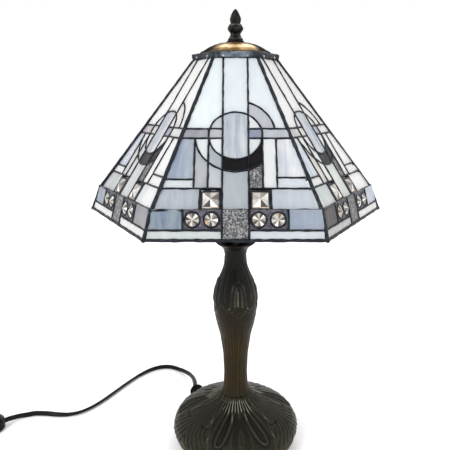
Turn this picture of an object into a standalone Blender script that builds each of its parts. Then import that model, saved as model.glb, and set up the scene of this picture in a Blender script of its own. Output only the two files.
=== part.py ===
"""A leaded-glass table lamp: cast foot and stem, harp, six-sided shade, finial, cord with switch and plug.

Metres, +Z up. The origin is the centre of the felt pad's underside, on the surface that the lamp stands on.
One flat side of the shade faces -Y, and two of its corners lie on the X axis.
"""

from math import cos, hypot, pi, radians, sin, tau

import bmesh
import bpy
import numpy as np
from mathutils import Matrix, Vector

GAP = 0.0003  # between pieces that touch

# Foot and stem: (radius, height) down the outside.
FOOT_TOP = 0.0657
FOOT_OUTLINE = [
    (0.0178, FOOT_TOP), (0.0220, 0.0603), (0.0300, 0.0563), (0.0400, 0.0525), (0.0500, 0.0482),
    (0.0600, 0.0425), (0.0675, 0.0370), (0.0718, 0.0305), (0.0733, 0.0240), (0.0720, 0.0170),
    (0.0685, 0.0090), (0.0648, 0.0023),
]
FOOT_HOLLOW = [
    (0.0615, 0.0023), (0.0655, 0.0100), (0.0685, 0.0180), (0.0675, 0.0250), (0.0610, 0.0330),
    (0.0500, 0.0400), (0.0300, 0.0460),
]
BOSS_UNDERSIDE = 0.0485
FELT_THICKNESS = 0.0020
FELT_RADIUS = 0.0640
PLATE_RADIUS = 0.0608
PLATE_BOTTOM = 0.0045
PLATE_THICKNESS = 0.0015
BALLAST_RADIUS = 0.0480
BALLAST_HOLE = 0.0150
BALLAST_HEIGHT = 0.0220

STEM_OUTLINE = [
    (0.0178, FOOT_TOP + GAP), (0.0150, 0.0710), (0.0140, 0.0760), (0.0132, 0.0906), (0.0142, 0.1150),
    (0.0175, 0.1380), (0.0211, 0.1510), (0.0234, 0.1620), (0.0244, 0.1730), (0.0245, 0.1820),
    (0.0230, 0.1930), (0.0199, 0.2034), (0.0160, 0.2120), (0.0133, 0.2187), (0.0120, 0.2265),
    (0.0120, 0.2330), (0.0130, 0.2385), (0.0147, 0.2416), (0.0182, 0.2441), (0.0206, 0.2458),
    (0.0222, 0.2470), (0.0222, 0.2480),
]
STEM_TOP = 0.2480
BORE = 0.0055
TUBE_RADIUS = 0.0050
TUBE_HOLE = 0.0035
TUBE_BOTTOM = 0.0360
WASHER_THICKNESS = 0.0012
NUT_HEIGHT = 0.0060
NUT_ACROSS = 0.0160

# Lampholder stack, upwards from the top of the stem.
SADDLE_BOTTOM = STEM_TOP + GAP
SADDLE_THICKNESS = 0.0016
SADDLE_WIDTH = 0.0120
SADDLE_TAB = 0.0120
SADDLE_NUT_HEIGHT = 0.0040
HOLDER_BOTTOM = 0.2545
HOLDER_CAP_HEIGHT = 0.0145
HOLDER_RADIUS = 0.0195
HOLDER_INSIDE = 0.0155
HOLDER_SHELL_HEIGHT = 0.0390
INSERT_HEIGHT = 0.0062
CONTACT_THICKNESS = 0.0008
SHELL_BOTTOM = HOLDER_BOTTOM + HOLDER_CAP_HEIGHT + GAP

# Bulb: heights above the underside of its end contact.
BULB_BOTTOM = 0.2783
BULB_CAP_RADIUS = 0.0131
BULB_OUTLINE = [
    (0.0145, 0.0315), (0.0155, 0.0370), (0.0190, 0.0480), (0.0250, 0.0600), (0.0293, 0.0720),
    (0.0300, 0.0780), (0.0293, 0.0850), (0.0260, 0.0940), (0.0190, 0.1015), (0.0100, 0.1053),
]
BULB_LENGTH = 0.1062
BULB_WALL = 0.0008
BULB_WIDEST = 0.05  # the glass widens up to here, then closes

# Harp: half of its wire, (distance from the axis, height), from the foot of a leg to the top.
HARP_WIRE = 0.0018
HARP_LEG = 0.0290
HARP_BOTTOM = 0.2622
HARP_HALF = [
    (HARP_LEG, HARP_BOTTOM), (HARP_LEG, 0.2760), (HARP_LEG, 0.2900), (HARP_LEG, 0.3020),
    (0.0345, 0.3180), (0.0430, 0.3350), (0.0492, 0.3550), (0.0490, 0.3790), (0.0420, 0.4010),
    (0.0290, 0.4195), (0.0130, 0.4315),
]
HARP_TOP = 0.4345
SLEEVE_RADIUS = 0.0034
SLEEVE_HEIGHT = 0.0160
STUD_SEAT_RADIUS = 0.0090
STUD_SEAT_HEIGHT = 0.0018
STUD_RADIUS = 0.0030
STUD_TOP = 0.4645

# Shade: corner radii and heights of its hexagons, measured on the outside of the seams.
TOP_RADIUS, TOP_Z = 0.0428, 0.4384
BREAK_RADIUS, BREAK_Z = 0.1472, 0.3107
BOTTOM_RADIUS, BOTTOM_Z = 0.1550, 0.2850
SIDES = 6
GLASS_SINK = 0.0006  # from the outside of the seams down to the glass
GLASS_THICKNESS = 0.0030
SEAM_RADIUS = 0.0020
SEAM_DEPTH = 0.0016  # from the outer corner in to the middle of a seam
PANEL_INSET = 0.0032  # from a corner or the break down or across to the glass
COLLAR_INSET = 0.0016
RIM_INSET = 0.0054
COLLAR_RADIUS = 0.0440
COLLAR_WALL = 0.0018
COLLAR_FLANGE = 0.0092
COLLAR_HEIGHT = 0.0056
SPIDER_THICKNESS = 0.0015
SPIDER_REACH = 0.0358
SPIDER_HUB = 0.0110
SPIDER_ARM = 0.0060
DOME_OUTLINE = [
    (0.0364, 0.4443), (0.0360, 0.4452), (0.0324, 0.4468), (0.0290, 0.4489),
    (0.0253, 0.4509), (0.0203, 0.4529), (0.0150, 0.4543), (0.0105, 0.4550),
    (0.0060, 0.4552),
]
DOME_WALL = 0.0010
STUD_HOLE = 0.0034

FINIAL_BOTTOM = 0.4555
FINIAL_OUTLINE = [
    (0.0082, FINIAL_BOTTOM), (0.0088, 0.4563), (0.0072, 0.4586), (0.0053, 0.4612), (0.0046, 0.4635),
    (0.0062, 0.4650), (0.0077, 0.4676), (0.0075, 0.4695), (0.0060, 0.4716), (0.0048, 0.4734),
    (0.0054, 0.4755), (0.0055, 0.4778), (0.0044, 0.4812), (0.0026, 0.4845), (0.0010, 0.4866),
]
FINIAL_TOP = 0.4870
FINIAL_BORE = 0.0033
FINIAL_BORE_TOP = 0.4665

# Cord: a flat twin lead of this width. The routes are the points that it was laid through.
CORD = 0.0055
CORD_HALF = CORD / 2
CORD_SPACING = 0.0125
GRIP_FOOT = (-0.0465, 0.0572, 0.0190)  # where the grip's axis passes through the foot's wall
GRIP_TURN = radians(107.5)
GRIP_LENGTH = 0.0230
LAMP_ROUTE = [
    (-0.0534, 0.0794, 0.0190), (-0.0554, 0.0900, 0.0188), (-0.0572, 0.1030, 0.0168),
    (-0.0612, 0.1215, 0.0125), (-0.0695, 0.1415, 0.0080), (-0.0859, 0.1605, 0.0042),
    (-0.1048, 0.1680, 0.0030), (-0.1247, 0.1606, 0.0030), (-0.1434, 0.1412, 0.0030),
    (-0.1562, 0.1208, 0.0030), (-0.1679, 0.0992, 0.0030), (-0.1790, 0.0788, 0.0030),
    (-0.1902, 0.0624, 0.0030), (-0.2020, 0.0514, 0.0030), (-0.2157, 0.0462, 0.0030),
    (-0.2300, 0.0452, 0.0030), (-0.2457, 0.0466, 0.0030), (-0.2610, 0.0466, 0.0033),
    (-0.2735, 0.0414, 0.0048), (-0.2835, 0.0325, 0.0072), (-0.2904, 0.0243, 0.0086),
]
SWITCH_MIDDLE = (-0.31405, 0.0048, 0.0)
SWITCH_TURN = radians(219.5)
SWITCH_LENGTH = 0.0620
SWITCH_WIDTH = 0.0240
SWITCH_PARTING = 0.0086
SWITCH_TOP = 0.0170
SWITCH_WALL = 0.0018
SWITCH_FLOOR = 0.0020
SWITCH_LIFT = 0.0002  # its feet hold it this far off the table
ROCKER_LENGTH = 0.0170
ROCKER_WIDTH = 0.0096
ROCKER_TILT = radians(8)
ROCKER_PIVOT = 0.0125
SCREW_ALONG = 0.0210
SCREW_ACROSS = 0.0065
CONTACT_ALONG = 0.0095
ROCKER_PIN_RADIUS = 0.0009
ROCKER_PIN_LENGTH = 0.0150
COIL_MIDDLE = (-0.3900, 0.0250)
COIL_INSIDE = 0.0232
COIL_OUTSIDE = 0.0350
COIL_BOTTOM = 0.0012
COIL_HEIGHT = 0.0126
TIE_ANGLE = radians(-60)
TIE_WIDTH = 0.0060
TIE_THICKNESS = 0.0008
PLUG_ROUTE = [
    (-0.3382, -0.0151, 0.0086), (-0.3465, -0.0215, 0.0070), (-0.3570, -0.0268, 0.0045),
    (-0.3700, -0.0296, 0.0031), (-0.3850, -0.0292, 0.0030), (-0.3990, -0.0250, 0.0030),
    (-0.4120, -0.0165, 0.0030), (-0.4215, -0.0045, 0.0030), (-0.4262, 0.0080, 0.0034),
    (-0.4281, 0.0190, 0.0042),
]
TAIL_ROUTE = [
    (-0.4040, 0.0608, 0.0098), (-0.4018, 0.0700, 0.0076), (-0.4004, 0.0810, 0.0044),
    (-0.4000, 0.0900, 0.0036), (-0.4000, 0.0980, 0.0050), (-0.4000, 0.1050, 0.0068),
    (-0.4000, 0.1116, 0.0073),
]
PLUG_START = (-0.4000, 0.1123, 0.0074)
SLEEVE_LENGTH = 0.0220
PLUG_LENGTH = 0.0330
PLUG_WIDTH = 0.0340
PLUG_THICKNESS = 0.0140
PIN_RADIUS = 0.0020
PIN_LENGTH = 0.0190
PIN_SPACING = 0.0190

# name: (colour, metallic, roughness)
FINISHES = {
    "bronze": ((0.070, 0.060, 0.045), 0.85, 0.45),
    "brass": ((0.62, 0.42, 0.16), 1.0, 0.30),
    "iron": ((0.10, 0.10, 0.10), 0.9, 0.60),
    "steel": ((0.45, 0.45, 0.46), 1.0, 0.35),
    "felt": ((0.03, 0.05, 0.04), 0.0, 0.95),
    "black_rubber": ((0.015, 0.015, 0.015), 0.0, 0.60),
    "black_plastic": ((0.012, 0.012, 0.012), 0.0, 0.35),
    "cord_jacket": ((0.020, 0.016, 0.014), 0.0, 0.45),
    "ceramic": ((0.80, 0.79, 0.75), 0.0, 0.30),
    "bulb_glass": ((0.93, 0.93, 0.92), 0.0, 0.10),
    "opal_glass": ((0.74, 0.79, 0.84), 0.0, 0.20),
    "jewel_glass": ((0.60, 0.58, 0.52), 0.0, 0.05),
    "lead": ((0.055, 0.060, 0.075), 0.8, 0.40),
}


def finish(name):
    """The material of that name, made once."""
    if name in bpy.data.materials:
        return bpy.data.materials[name]
    colour, metallic, roughness = FINISHES[name]
    material = bpy.data.materials.new(name)
    material.use_nodes = True
    shader = material.node_tree.nodes["Principled BSDF"]
    shader.inputs["Base Color"].default_value = (*colour, 1.0)
    shader.inputs["Metallic"].default_value = metallic
    shader.inputs["Roughness"].default_value = roughness
    return material


def add(name, bm, material, parent=None, at=(0, 0, 0), turn=0.0, smooth=True):
    """Makes an object of the closed bmesh, faces outwards, placed under its parent."""
    bmesh.ops.recalc_face_normals(bm, faces=bm.faces)
    mesh = bpy.data.meshes.new(name)
    bm.to_mesh(mesh)
    bm.free()
    if smooth:
        mesh.shade_smooth()
        mesh.set_sharp_from_angle(angle=radians(35))
    made = bpy.data.objects.new(name, mesh)
    bpy.context.scene.collection.objects.link(made)
    made.location = at
    made.rotation_euler = (0, 0, turn)
    made.parent = parent
    if material:
        mesh.materials.append(finish(material))
    return made


def empty(name, at, turn=0.0):
    made = bpy.data.objects.new(name, None)
    bpy.context.scene.collection.objects.link(made)
    made.location = at
    made.rotation_euler = (0, 0, turn)
    return made


def turned(outline, steps=24):
    """Spins an outline of (radius, height) about Z. It ends on the axis, or it closes on itself."""
    bm = bmesh.new()
    points = [bm.verts.new((r, 0, z)) for r, z in outline]
    edges = [bm.edges.new(pair) for pair in zip(points, points[1:])]
    if min(r for r, _ in outline) > 0:
        edges.append(bm.edges.new((points[-1], points[0])))
    bmesh.ops.spin(
        bm, geom=points + edges, cent=(0, 0, 0), axis=(0, 0, 1), angle=tau, steps=steps, use_merge=True
    )
    bmesh.ops.remove_doubles(bm, verts=bm.verts, dist=1e-6)
    return bm


def ring(inside, outside, bottom, top, steps=24):
    """A plain turned ring or washer."""
    return turned([(inside, bottom), (outside, bottom), (outside, top), (inside, top)], steps)


def polygon(radius, corners, first=0.0):
    angles = [first + tau * i / corners for i in range(corners)]
    return [(radius * cos(angle), radius * sin(angle)) for angle in angles]


def prism(outline, bottom, top, shrink=0.0, inset=0.0):
    """Carries an outline from bottom up to top. Over its last inset of height it is drawn in by shrink."""
    levels = [(bottom, 1.0), (top, 1.0)]
    if shrink:
        levels = [(bottom, 1.0), (top - inset, 1.0), (top, 1.0 - shrink)]
    bm = bmesh.new()
    rings = [[bm.verts.new((x * scale, y * scale, z)) for x, y in outline] for z, scale in levels]
    for low, high in zip(rings, rings[1:]):
        for a, b, c, d in zip(low, low[1:] + low[:1], high[1:] + high[:1], high):
            bm.faces.new((a, b, c, d))
    bm.faces.new(rings[0][::-1])
    bm.faces.new(rings[-1])
    return bm


def box(low, high):
    bm = bmesh.new()
    bmesh.ops.create_cube(bm, size=1.0)
    for v in bm.verts:
        v.co = [a if c < 0 else b for c, a, b in zip(v.co, low, high)]
    return bm


def placed(bm, matrix):
    bmesh.ops.transform(bm, matrix=matrix, verts=bm.verts)
    return bm


def combine(made, shape, operation="DIFFERENCE"):
    """Cuts the bmesh's shape out of a made object, or unites the two."""
    tool = add(made.name + "_tool", shape, None, made.parent)
    tool.hide_render = True
    tool.display_type = "WIRE"
    boolean = made.modifiers.new(operation.lower(), "BOOLEAN")
    boolean.operation = operation
    boolean.solver = "EXACT"
    boolean.object = tool


def smooth_route(points, spacing):
    """Evenly spaced points of a smooth curve through the given ones."""
    p = np.array(points)
    steps = np.linalg.norm(np.diff(p, axis=0), axis=1)
    at = np.concatenate([[0], np.cumsum(steps)])
    slope = np.gradient(p, at, axis=0)
    fine = []
    for i, step in enumerate(steps):
        t = np.linspace(0, 1, 40, endpoint=i == len(steps) - 1)[:, None]
        fine.append(
            (2 * t**3 - 3 * t**2 + 1) * p[i] + (t**3 - 2 * t**2 + t) * step * slope[i]
            + (3 * t**2 - 2 * t**3) * p[i + 1] + (t**3 - t**2) * step * slope[i + 1]
        )
    fine = np.concatenate(fine)
    along = np.concatenate([[0], np.cumsum(np.linalg.norm(np.diff(fine, axis=0), axis=1))])
    places = np.linspace(0, along[-1], max(2, round(along[-1] / spacing) + 1))
    return np.column_stack([np.interp(places, along, fine[:, i]) for i in range(3)])


def wire(name, points, radius, material, sides=2):
    """A round tube along the points, closed at both ends."""
    curve = bpy.data.curves.new(name, "CURVE")
    curve.dimensions = "3D"
    curve.bevel_depth = radius
    curve.bevel_resolution = sides
    curve.use_fill_caps = True
    spline = curve.splines.new("POLY")
    spline.points.add(len(points) - 1)
    for point, place in zip(spline.points, points):
        point.co = (*place, 1.0)
    made = bpy.data.objects.new(name, curve)
    bpy.context.scene.collection.objects.link(made)
    curve.materials.append(finish(material))
    return made


def build_foot():
    hollow = FOOT_HOLLOW + [(0.0140, BOSS_UNDERSIDE), (BORE, BOSS_UNDERSIDE)]
    foot = add("base_foot", turned([(BORE, FOOT_TOP)] + FOOT_OUTLINE + hollow, 36), "bronze")
    turn = Matrix.Rotation(GRIP_TURN, 4, "Z") @ Matrix.Rotation(pi / 2, 4, "Y")
    across = Matrix.Translation(GRIP_FOOT) @ turn
    hole = [
        (0, -0.0135), (0.0084, -0.0135), (0.0084, -0.0075), (0.0060, -0.0075), (0.0060, 0.0008),
        (0.0092, 0.0008),
        (0.0092, 0.0120), (0, 0.0120),
    ]
    combine(foot, placed(turned(hole, 20), across))
    plate_top = PLATE_BOTTOM + PLATE_THICKNESS
    ballast_bottom = plate_top + GAP
    felt = [(0, 0), (FELT_RADIUS, 0), (FELT_RADIUS, FELT_THICKNESS), (0, FELT_THICKNESS)]
    add("felt_pad", turned(felt, 40), "felt")
    add("bottom_plate", ring(0.0040, PLATE_RADIUS, PLATE_BOTTOM, plate_top, 32), "steel")
    ballast_top = ballast_bottom + BALLAST_HEIGHT
    add("ballast", ring(BALLAST_HOLE, BALLAST_RADIUS, ballast_bottom, ballast_top), "iron")
    washer_bottom = BOSS_UNDERSIDE - GAP - WASHER_THICKNESS
    nut_bottom = washer_bottom - GAP - NUT_HEIGHT
    add("base_washer", ring(BORE, 0.0110, washer_bottom, washer_bottom + WASHER_THICKNESS), "steel")
    add("base_nut", hex_nut(nut_bottom, NUT_HEIGHT), "steel", smooth=False)
    grip = [
        (0.0033, -0.0105), (0.0078, -0.0105), (0.0078, -0.0078), (0.0056, -0.0078), (0.0056, 0.0011),
        (0.0086, 0.0013), (0.0088, 0.0062), (0.0074, 0.0072), (0.0084, 0.0084), (0.0084, 0.0108),
        (0.0072, 0.0120), (0.0078, 0.0132), (0.0076, 0.0156), (0.0064, 0.0166), (0.0068, 0.0180),
        (0.0060, 0.0215), (0.0045, GRIP_LENGTH), (0.0033, GRIP_LENGTH),
    ]
    add("cord_grip", placed(turned(grip, 16), across), "black_rubber")


def hex_nut(bottom, height):
    """A hexagon nut round the threaded tube."""
    bm = bmesh.new()
    rims = []
    for flats in (NUT_ACROSS / 2, BORE):
        corners = polygon(flats / cos(pi / 6), 6)
        for z in (bottom, bottom + height):
            rims.append([bm.verts.new((x, y, z)) for x, y in corners])
    outer_low, outer_high, inner_low, inner_high = rims
    walls = (outer_low, outer_high, inner_high, inner_low)
    for low, high in zip(walls, walls[1:] + walls[:1]):
        for i in range(6):
            j = (i + 1) % 6
            bm.faces.new((low[i], low[j], high[j], high[i]))
    return bm


def build_stem():
    add("stem", turned(STEM_OUTLINE + [(BORE, STEM_TOP), (BORE, FOOT_TOP + GAP)], 28), "bronze")
    tube_top = HOLDER_BOTTOM + 0.0060
    add("threaded_tube", ring(TUBE_HOLE, TUBE_RADIUS, TUBE_BOTTOM, tube_top, 20), "steel")
    inner = [
        (-0.0431, 0.0465, 0.0190), (-0.0405, 0.0410, 0.0240), (-0.0362, 0.0362, 0.0305),
        (-0.0250, 0.0230, 0.0318),
        (-0.0090, 0.0070, 0.0308), (-0.0024, 0.0014, 0.0322), (0.0, 0.0, 0.0356), (0.0, 0.0, 0.0420),
    ]
    route = [*smooth_route(inner, 0.0045), (0.0, 0.0, 0.2600)]
    wire("inner_wire", route, 0.0018, "cord_jacket")


def build_holder():
    top = SADDLE_BOTTOM + SADDLE_THICKNESS
    reach, half = HARP_LEG + 0.0012, SADDLE_WIDTH / 2
    side = [
        (-reach, SADDLE_BOTTOM), (reach, SADDLE_BOTTOM), (reach, top + SADDLE_TAB - 0.0003),
        (reach - 0.0020, top + SADDLE_TAB - 0.0003), (reach - 0.0020, top), (0.0020 - reach, top),
        (0.0020 - reach, top + SADDLE_TAB - 0.0003), (-reach, top + SADDLE_TAB - 0.0003),
    ]
    saddle = prism(side, -half, half)
    saddle = add("harp_saddle", placed(saddle, Matrix.Rotation(pi / 2, 4, "X")), "steel", smooth=False)
    combine(saddle, ring_cutter(BORE, SADDLE_BOTTOM - 0.002, top + 0.002))
    add("saddle_nut", hex_nut(top + GAP, SADDLE_NUT_HEIGHT), "steel", smooth=False)
    low, high = HOLDER_BOTTOM, HOLDER_BOTTOM + HOLDER_CAP_HEIGHT
    cap = [
        (BORE, low), (0.0120, low), (0.0178, low + 0.0045), (HOLDER_RADIUS, high), (0.0178, high),
        (0.0160, low + 0.0065), (0.0110, low + 0.0025), (BORE, low + 0.0025),
    ]
    add("holder_cap", turned(cap), "brass")
    shell_top = SHELL_BOTTOM + HOLDER_SHELL_HEIGHT
    shell = [
        (HOLDER_INSIDE, SHELL_BOTTOM), (HOLDER_RADIUS, SHELL_BOTTOM), (HOLDER_RADIUS, shell_top - 0.0040),
        (HOLDER_RADIUS + 0.0012, shell_top - 0.0030), (HOLDER_RADIUS + 0.0012, shell_top),
        (HOLDER_INSIDE, shell_top),
    ]
    add("holder_shell", turned(shell), "brass")
    insert_top = SHELL_BOTTOM + INSERT_HEIGHT
    add("holder_insert", ring(0.0020, HOLDER_INSIDE - GAP, SHELL_BOTTOM, insert_top), "ceramic")
    spring = box((-0.0100, -0.0030, insert_top + GAP), (0.0050, 0.0030, insert_top + GAP + CONTACT_THICKNESS))
    add("holder_contact", spring, "brass", smooth=False)


def ring_cutter(radius, bottom, top):
    return turned([(0, bottom), (radius, bottom), (radius, top), (0, top)], 20)


def build_bulb():
    bulb = empty("bulb_axis", (0, 0, BULB_BOTTOM))
    add("bulb_contact", turned([(0, 0), (0.0030, 0), (0.0042, 0.0022), (0, 0.0022)], 16), "brass", bulb)
    cap = [
        (0, 0.0025), (0.0090, 0.0025), (BULB_CAP_RADIUS, 0.0060), (BULB_CAP_RADIUS, 0.0285), (0.0142, 0.0312),
        (0.0132, 0.0312), (0.0122, 0.0285), (0.0122, 0.0070), (0, 0.0070),
    ]
    add("bulb_cap", turned(cap), "brass", bulb)
    outside = [(0, BULB_LENGTH)] + BULB_OUTLINE[::-1]
    inside = []
    for r, z in BULB_OUTLINE[1:]:
        lift = BULB_WALL / 2 if z < BULB_WIDEST else -BULB_WALL / 3
        inside.append((r - BULB_WALL, z + lift))
    inside = [(BULB_OUTLINE[0][0] - BULB_WALL, BULB_OUTLINE[0][1])] + inside + [(0, BULB_LENGTH - BULB_WALL)]
    add("bulb_glass", turned(outside + inside, 20), "bulb_glass", bulb)
    mount = [(0, 0.0073), (0.0095, 0.0073), (0.0085, 0.0250), (0.0032, 0.0400), (0.0026, 0.0780), (0, 0.0790)]
    add("bulb_mount", turned(mount, 16), "bulb_glass", bulb)


def build_harp():
    left = [(-x, 0, z) for x, z in HARP_HALF]
    right = [(x, 0, z) for x, z in HARP_HALF[::-1]]
    wire("harp", smooth_route(left + [(0, 0, HARP_TOP)] + right, 0.0120), HARP_WIRE, "brass")
    for name, side in (("left_sleeve", -1), ("right_sleeve", 1)):
        sleeve = [
            (0.0021, 0), (SLEEVE_RADIUS, 0), (SLEEVE_RADIUS, 0.0020), (0.0030, 0.0030), (0.0030, 0.0130),
            (SLEEVE_RADIUS, 0.0140), (SLEEVE_RADIUS, SLEEVE_HEIGHT), (0.0021, SLEEVE_HEIGHT),
        ]
        add(name, turned(sleeve, 16), "brass", at=(side * HARP_LEG, 0, HARP_BOTTOM + GAP))
    seat = HARP_TOP + HARP_WIRE + GAP
    stud = [
        (0, seat), (STUD_SEAT_RADIUS, seat), (STUD_SEAT_RADIUS, seat + STUD_SEAT_HEIGHT),
        (STUD_RADIUS, seat + STUD_SEAT_HEIGHT), (STUD_RADIUS, STUD_TOP - 0.0008),
        (0.0022, STUD_TOP), (0, STUD_TOP),
    ]
    add("harp_stud", turned(stud, 20), "brass")


def corner(radius, height, number):
    """A corner of one of the shade's hexagons; corner 0 is on +X."""
    angle = tau * number / SIDES
    return Vector((radius * cos(angle), radius * sin(angle), height))


def side_frame(number, top, bottom):
    """Places (across, down, out) of a flat side: top and bottom are (corner radius, height)."""
    angle = tau * (number + 0.5) / SIDES
    away, across = Vector((cos(angle), sin(angle), 0)), Vector((-sin(angle), cos(angle), 0))
    high = away * top[0] * cos(pi / SIDES) + Vector((0, 0, top[1]))
    low = away * bottom[0] * cos(pi / SIDES) + Vector((0, 0, bottom[1]))
    down = (low - high).normalized()
    out = Vector((away.x * -down.z, away.y * -down.z, hypot(down.x, down.y)))
    frame = Matrix((across, down, out)).transposed().to_4x4()
    frame.translation = high
    return frame, (low - high).length


def glass_plate(top, bottom, number, above=PANEL_INSET, below=PANEL_INSET):
    """One side's glass, drawn in from the seams all round."""
    frame, length = side_frame(number, top, bottom)
    slope = (bottom[0] - top[0]) / 2 / length
    margin = PANEL_INSET * hypot(1, slope)
    outline = []
    for down in (above, length - below):
        half = top[0] / 2 + slope * down - margin
        outline += [(-half, down), (half, down)] if not outline else [(half, down), (-half, down)]
    return placed(prism(outline, -GLASS_SINK - GLASS_THICKNESS, -GLASS_SINK), frame)


def seam(start, end, steps=7):
    """A round lead seam between two corners, sunk towards the lamp's axis."""
    along = (end - start).normalized()
    inward = Vector((-start.x, -start.y, 0)).normalized()
    inward = (inward - along * inward.dot(along)).normalized() * SEAM_DEPTH
    radius, length = SEAM_RADIUS * 0.93, (end - start).length
    bar = turned([(0, 0), (radius, 0), (radius, length), (0, length)], steps)
    turn = along.to_track_quat("Z", "Y").to_matrix().to_4x4()
    return placed(bar, Matrix.Translation(start + inward) @ turn)


def hexagon_seam(radius, height, section=SEAM_RADIUS, steps=8):
    """A closed seam round the shade at one height."""
    bm = bmesh.new()
    up = Vector((0, 0, section))
    rims = []
    for number in range(SIDES):
        middle = corner(radius - SEAM_DEPTH / cos(pi / SIDES), height, number)
        out = section * Vector((middle.x, middle.y, 0)).normalized() / cos(pi / SIDES)
        angles = [tau * i / steps for i in range(steps)]
        rims.append([bm.verts.new(middle + out * cos(angle) + up * sin(angle)) for angle in angles])
    for number, rim in enumerate(rims):
        following = rims[(number + 1) % SIDES]
        for i in range(steps):
            j = (i + 1) % steps
            bm.faces.new((rim[i], rim[j], following[j], following[i]))
    return bm


def build_shade():
    top, middle, bottom = (TOP_RADIUS, TOP_Z), (BREAK_RADIUS, BREAK_Z), (BOTTOM_RADIUS, BOTTOM_Z)
    bars = []
    for number in range(SIDES):
        upper = glass_plate(top, middle, number, above=COLLAR_INSET)
        skirt = glass_plate(middle, bottom, number, below=RIM_INSET)
        add(f"upper_panel_{number + 1}", upper, "opal_glass", smooth=False)
        add(f"skirt_panel_{number + 1}", skirt, "opal_glass", smooth=False)
        high, low, foot = corner(*top, number), corner(*middle, number), corner(*bottom, number)
        bars.append(seam(high.lerp(low, 0.016), low.lerp(high, 0.004)))
        bars.append(seam(low.lerp(foot, 0.02), foot.lerp(low, 0.05)))
    frame = add("lead_frame", hexagon_seam(BREAK_RADIUS, BREAK_Z), "lead", smooth=False)
    combine(frame, hexagon_seam(BOTTOM_RADIUS, BOTTOM_Z + SEAM_RADIUS), "UNION")
    for bar in bars:
        combine(frame, bar, "UNION")
    wide, high = COLLAR_RADIUS, TOP_Z + COLLAR_HEIGHT
    section = [
        (wide, TOP_Z), (wide, high), (wide - COLLAR_FLANGE, high), (wide - COLLAR_FLANGE, high - 0.0012),
        (wide - COLLAR_WALL, high - 0.0012), (wide - COLLAR_WALL, TOP_Z),
    ]
    add("shade_collar", hexagon_band(section), "lead", smooth=False)
    build_spider()
    rim, crown = DOME_OUTLINE[0], DOME_OUTLINE[-1]
    inside = [(rim[0] - 2 * DOME_WALL, rim[1])]
    inside += [(r - DOME_WALL / 2, z - DOME_WALL) for r, z in DOME_OUTLINE[2:-1]]
    hole = [(STUD_HOLE, crown[1]), (STUD_HOLE, crown[1] - DOME_WALL)]
    add("cap_dome", turned(DOME_OUTLINE + hole + inside[::-1], 28), "bronze")


def hexagon_band(section):
    """A six-sided band whose section is a loop of (corner radius, height)."""
    bm = bmesh.new()
    rims = [[bm.verts.new(corner(r, z, n)) for n in range(SIDES)] for r, z in section]
    for low, high in zip(rims, rims[1:] + rims[:1]):
        for i in range(SIDES):
            j = (i + 1) % SIDES
            bm.faces.new((low[i], low[j], high[j], high[i]))
    return bm


def build_spider():
    """A flat hub with an arm to the middle of each side of the collar."""
    outline = []
    half = SPIDER_ARM / 2
    shoulder = SPIDER_HUB * cos(pi / SIDES)
    for number in range(SIDES):
        angle = tau * (number + 0.5) / SIDES
        for out, across in ((shoulder, -half), (SPIDER_REACH, -half), (SPIDER_REACH, half), (shoulder, half)):
            outline.append((out * cos(angle) - across * sin(angle), out * sin(angle) + across * cos(angle)))
    bottom = HARP_TOP + HARP_WIRE + GAP + STUD_SEAT_HEIGHT + GAP
    spider = add("shade_spider", prism(outline, bottom, bottom + SPIDER_THICKNESS), "steel", smooth=False)
    combine(spider, ring_cutter(STUD_HOLE, bottom - 0.002, bottom + SPIDER_THICKNESS + 0.002))


def build_finial():
    bore = [(0, FINIAL_BORE_TOP), (FINIAL_BORE, FINIAL_BORE_TOP), (FINIAL_BORE, FINIAL_BOTTOM)]
    add("finial", turned(bore + FINIAL_OUTLINE + [(0, FINIAL_TOP)], 16), "bronze")


def build_cord():
    wire("cord_lamp_side", smooth_route(LAMP_ROUTE, CORD_SPACING), CORD_HALF, "cord_jacket")
    wire("cord_plug_side", smooth_route(PLUG_ROUTE, CORD_SPACING), CORD_HALF, "cord_jacket")
    wire("cord_tail", smooth_route(TAIL_ROUTE, CORD_SPACING), CORD_HALF, "cord_jacket")
    coil = ring(COIL_INSIDE, COIL_OUTSIDE, COIL_BOTTOM, COIL_BOTTOM + COIL_HEIGHT, 32)
    add("cord_coil", coil, "cord_jacket", at=(*COIL_MIDDLE, 0))
    low, high = COIL_BOTTOM - GAP, COIL_BOTTOM + COIL_HEIGHT + GAP
    near, far = COIL_INSIDE - 2 * GAP, COIL_OUTSIDE + GAP
    bm = bmesh.new()
    rims = []
    for wall in (TIE_THICKNESS, 0):
        left, right, under, over = near - wall, far + wall, low - wall, high + wall
        loop = [(left, under), (right, under), (right, over), (left, over)]
        rims += [[bm.verts.new((x, y, z)) for x, z in loop] for y in (-TIE_WIDTH / 2, TIE_WIDTH / 2)]
    for a, b in ((0, 1), (1, 3), (3, 2), (2, 0)):
        for i in range(4):
            j = (i + 1) % 4
            bm.faces.new((rims[a][i], rims[a][j], rims[b][j], rims[b][i]))
    add("cord_tie", bm, "black_plastic", at=(*COIL_MIDDLE, 0), turn=TIE_ANGLE, smooth=False)


def capsule(length, width, steps=6):
    """A long outline with rounded ends, drawn in where the cord enters."""
    half, side, radius = length / 2, width / 2, width * 0.42
    outline = []
    for x, y, first in ((1, 1, 0), (-1, 1, pi / 2), (-1, -1, pi), (1, -1, 3 * pi / 2)):
        middle = (x * (half - radius), y * (side - radius))
        for i in range(steps + 1):
            angle = first + pi / 2 * i / steps
            outline.append((middle[0] + radius * cos(angle), middle[1] + radius * sin(angle)))
    return outline


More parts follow.
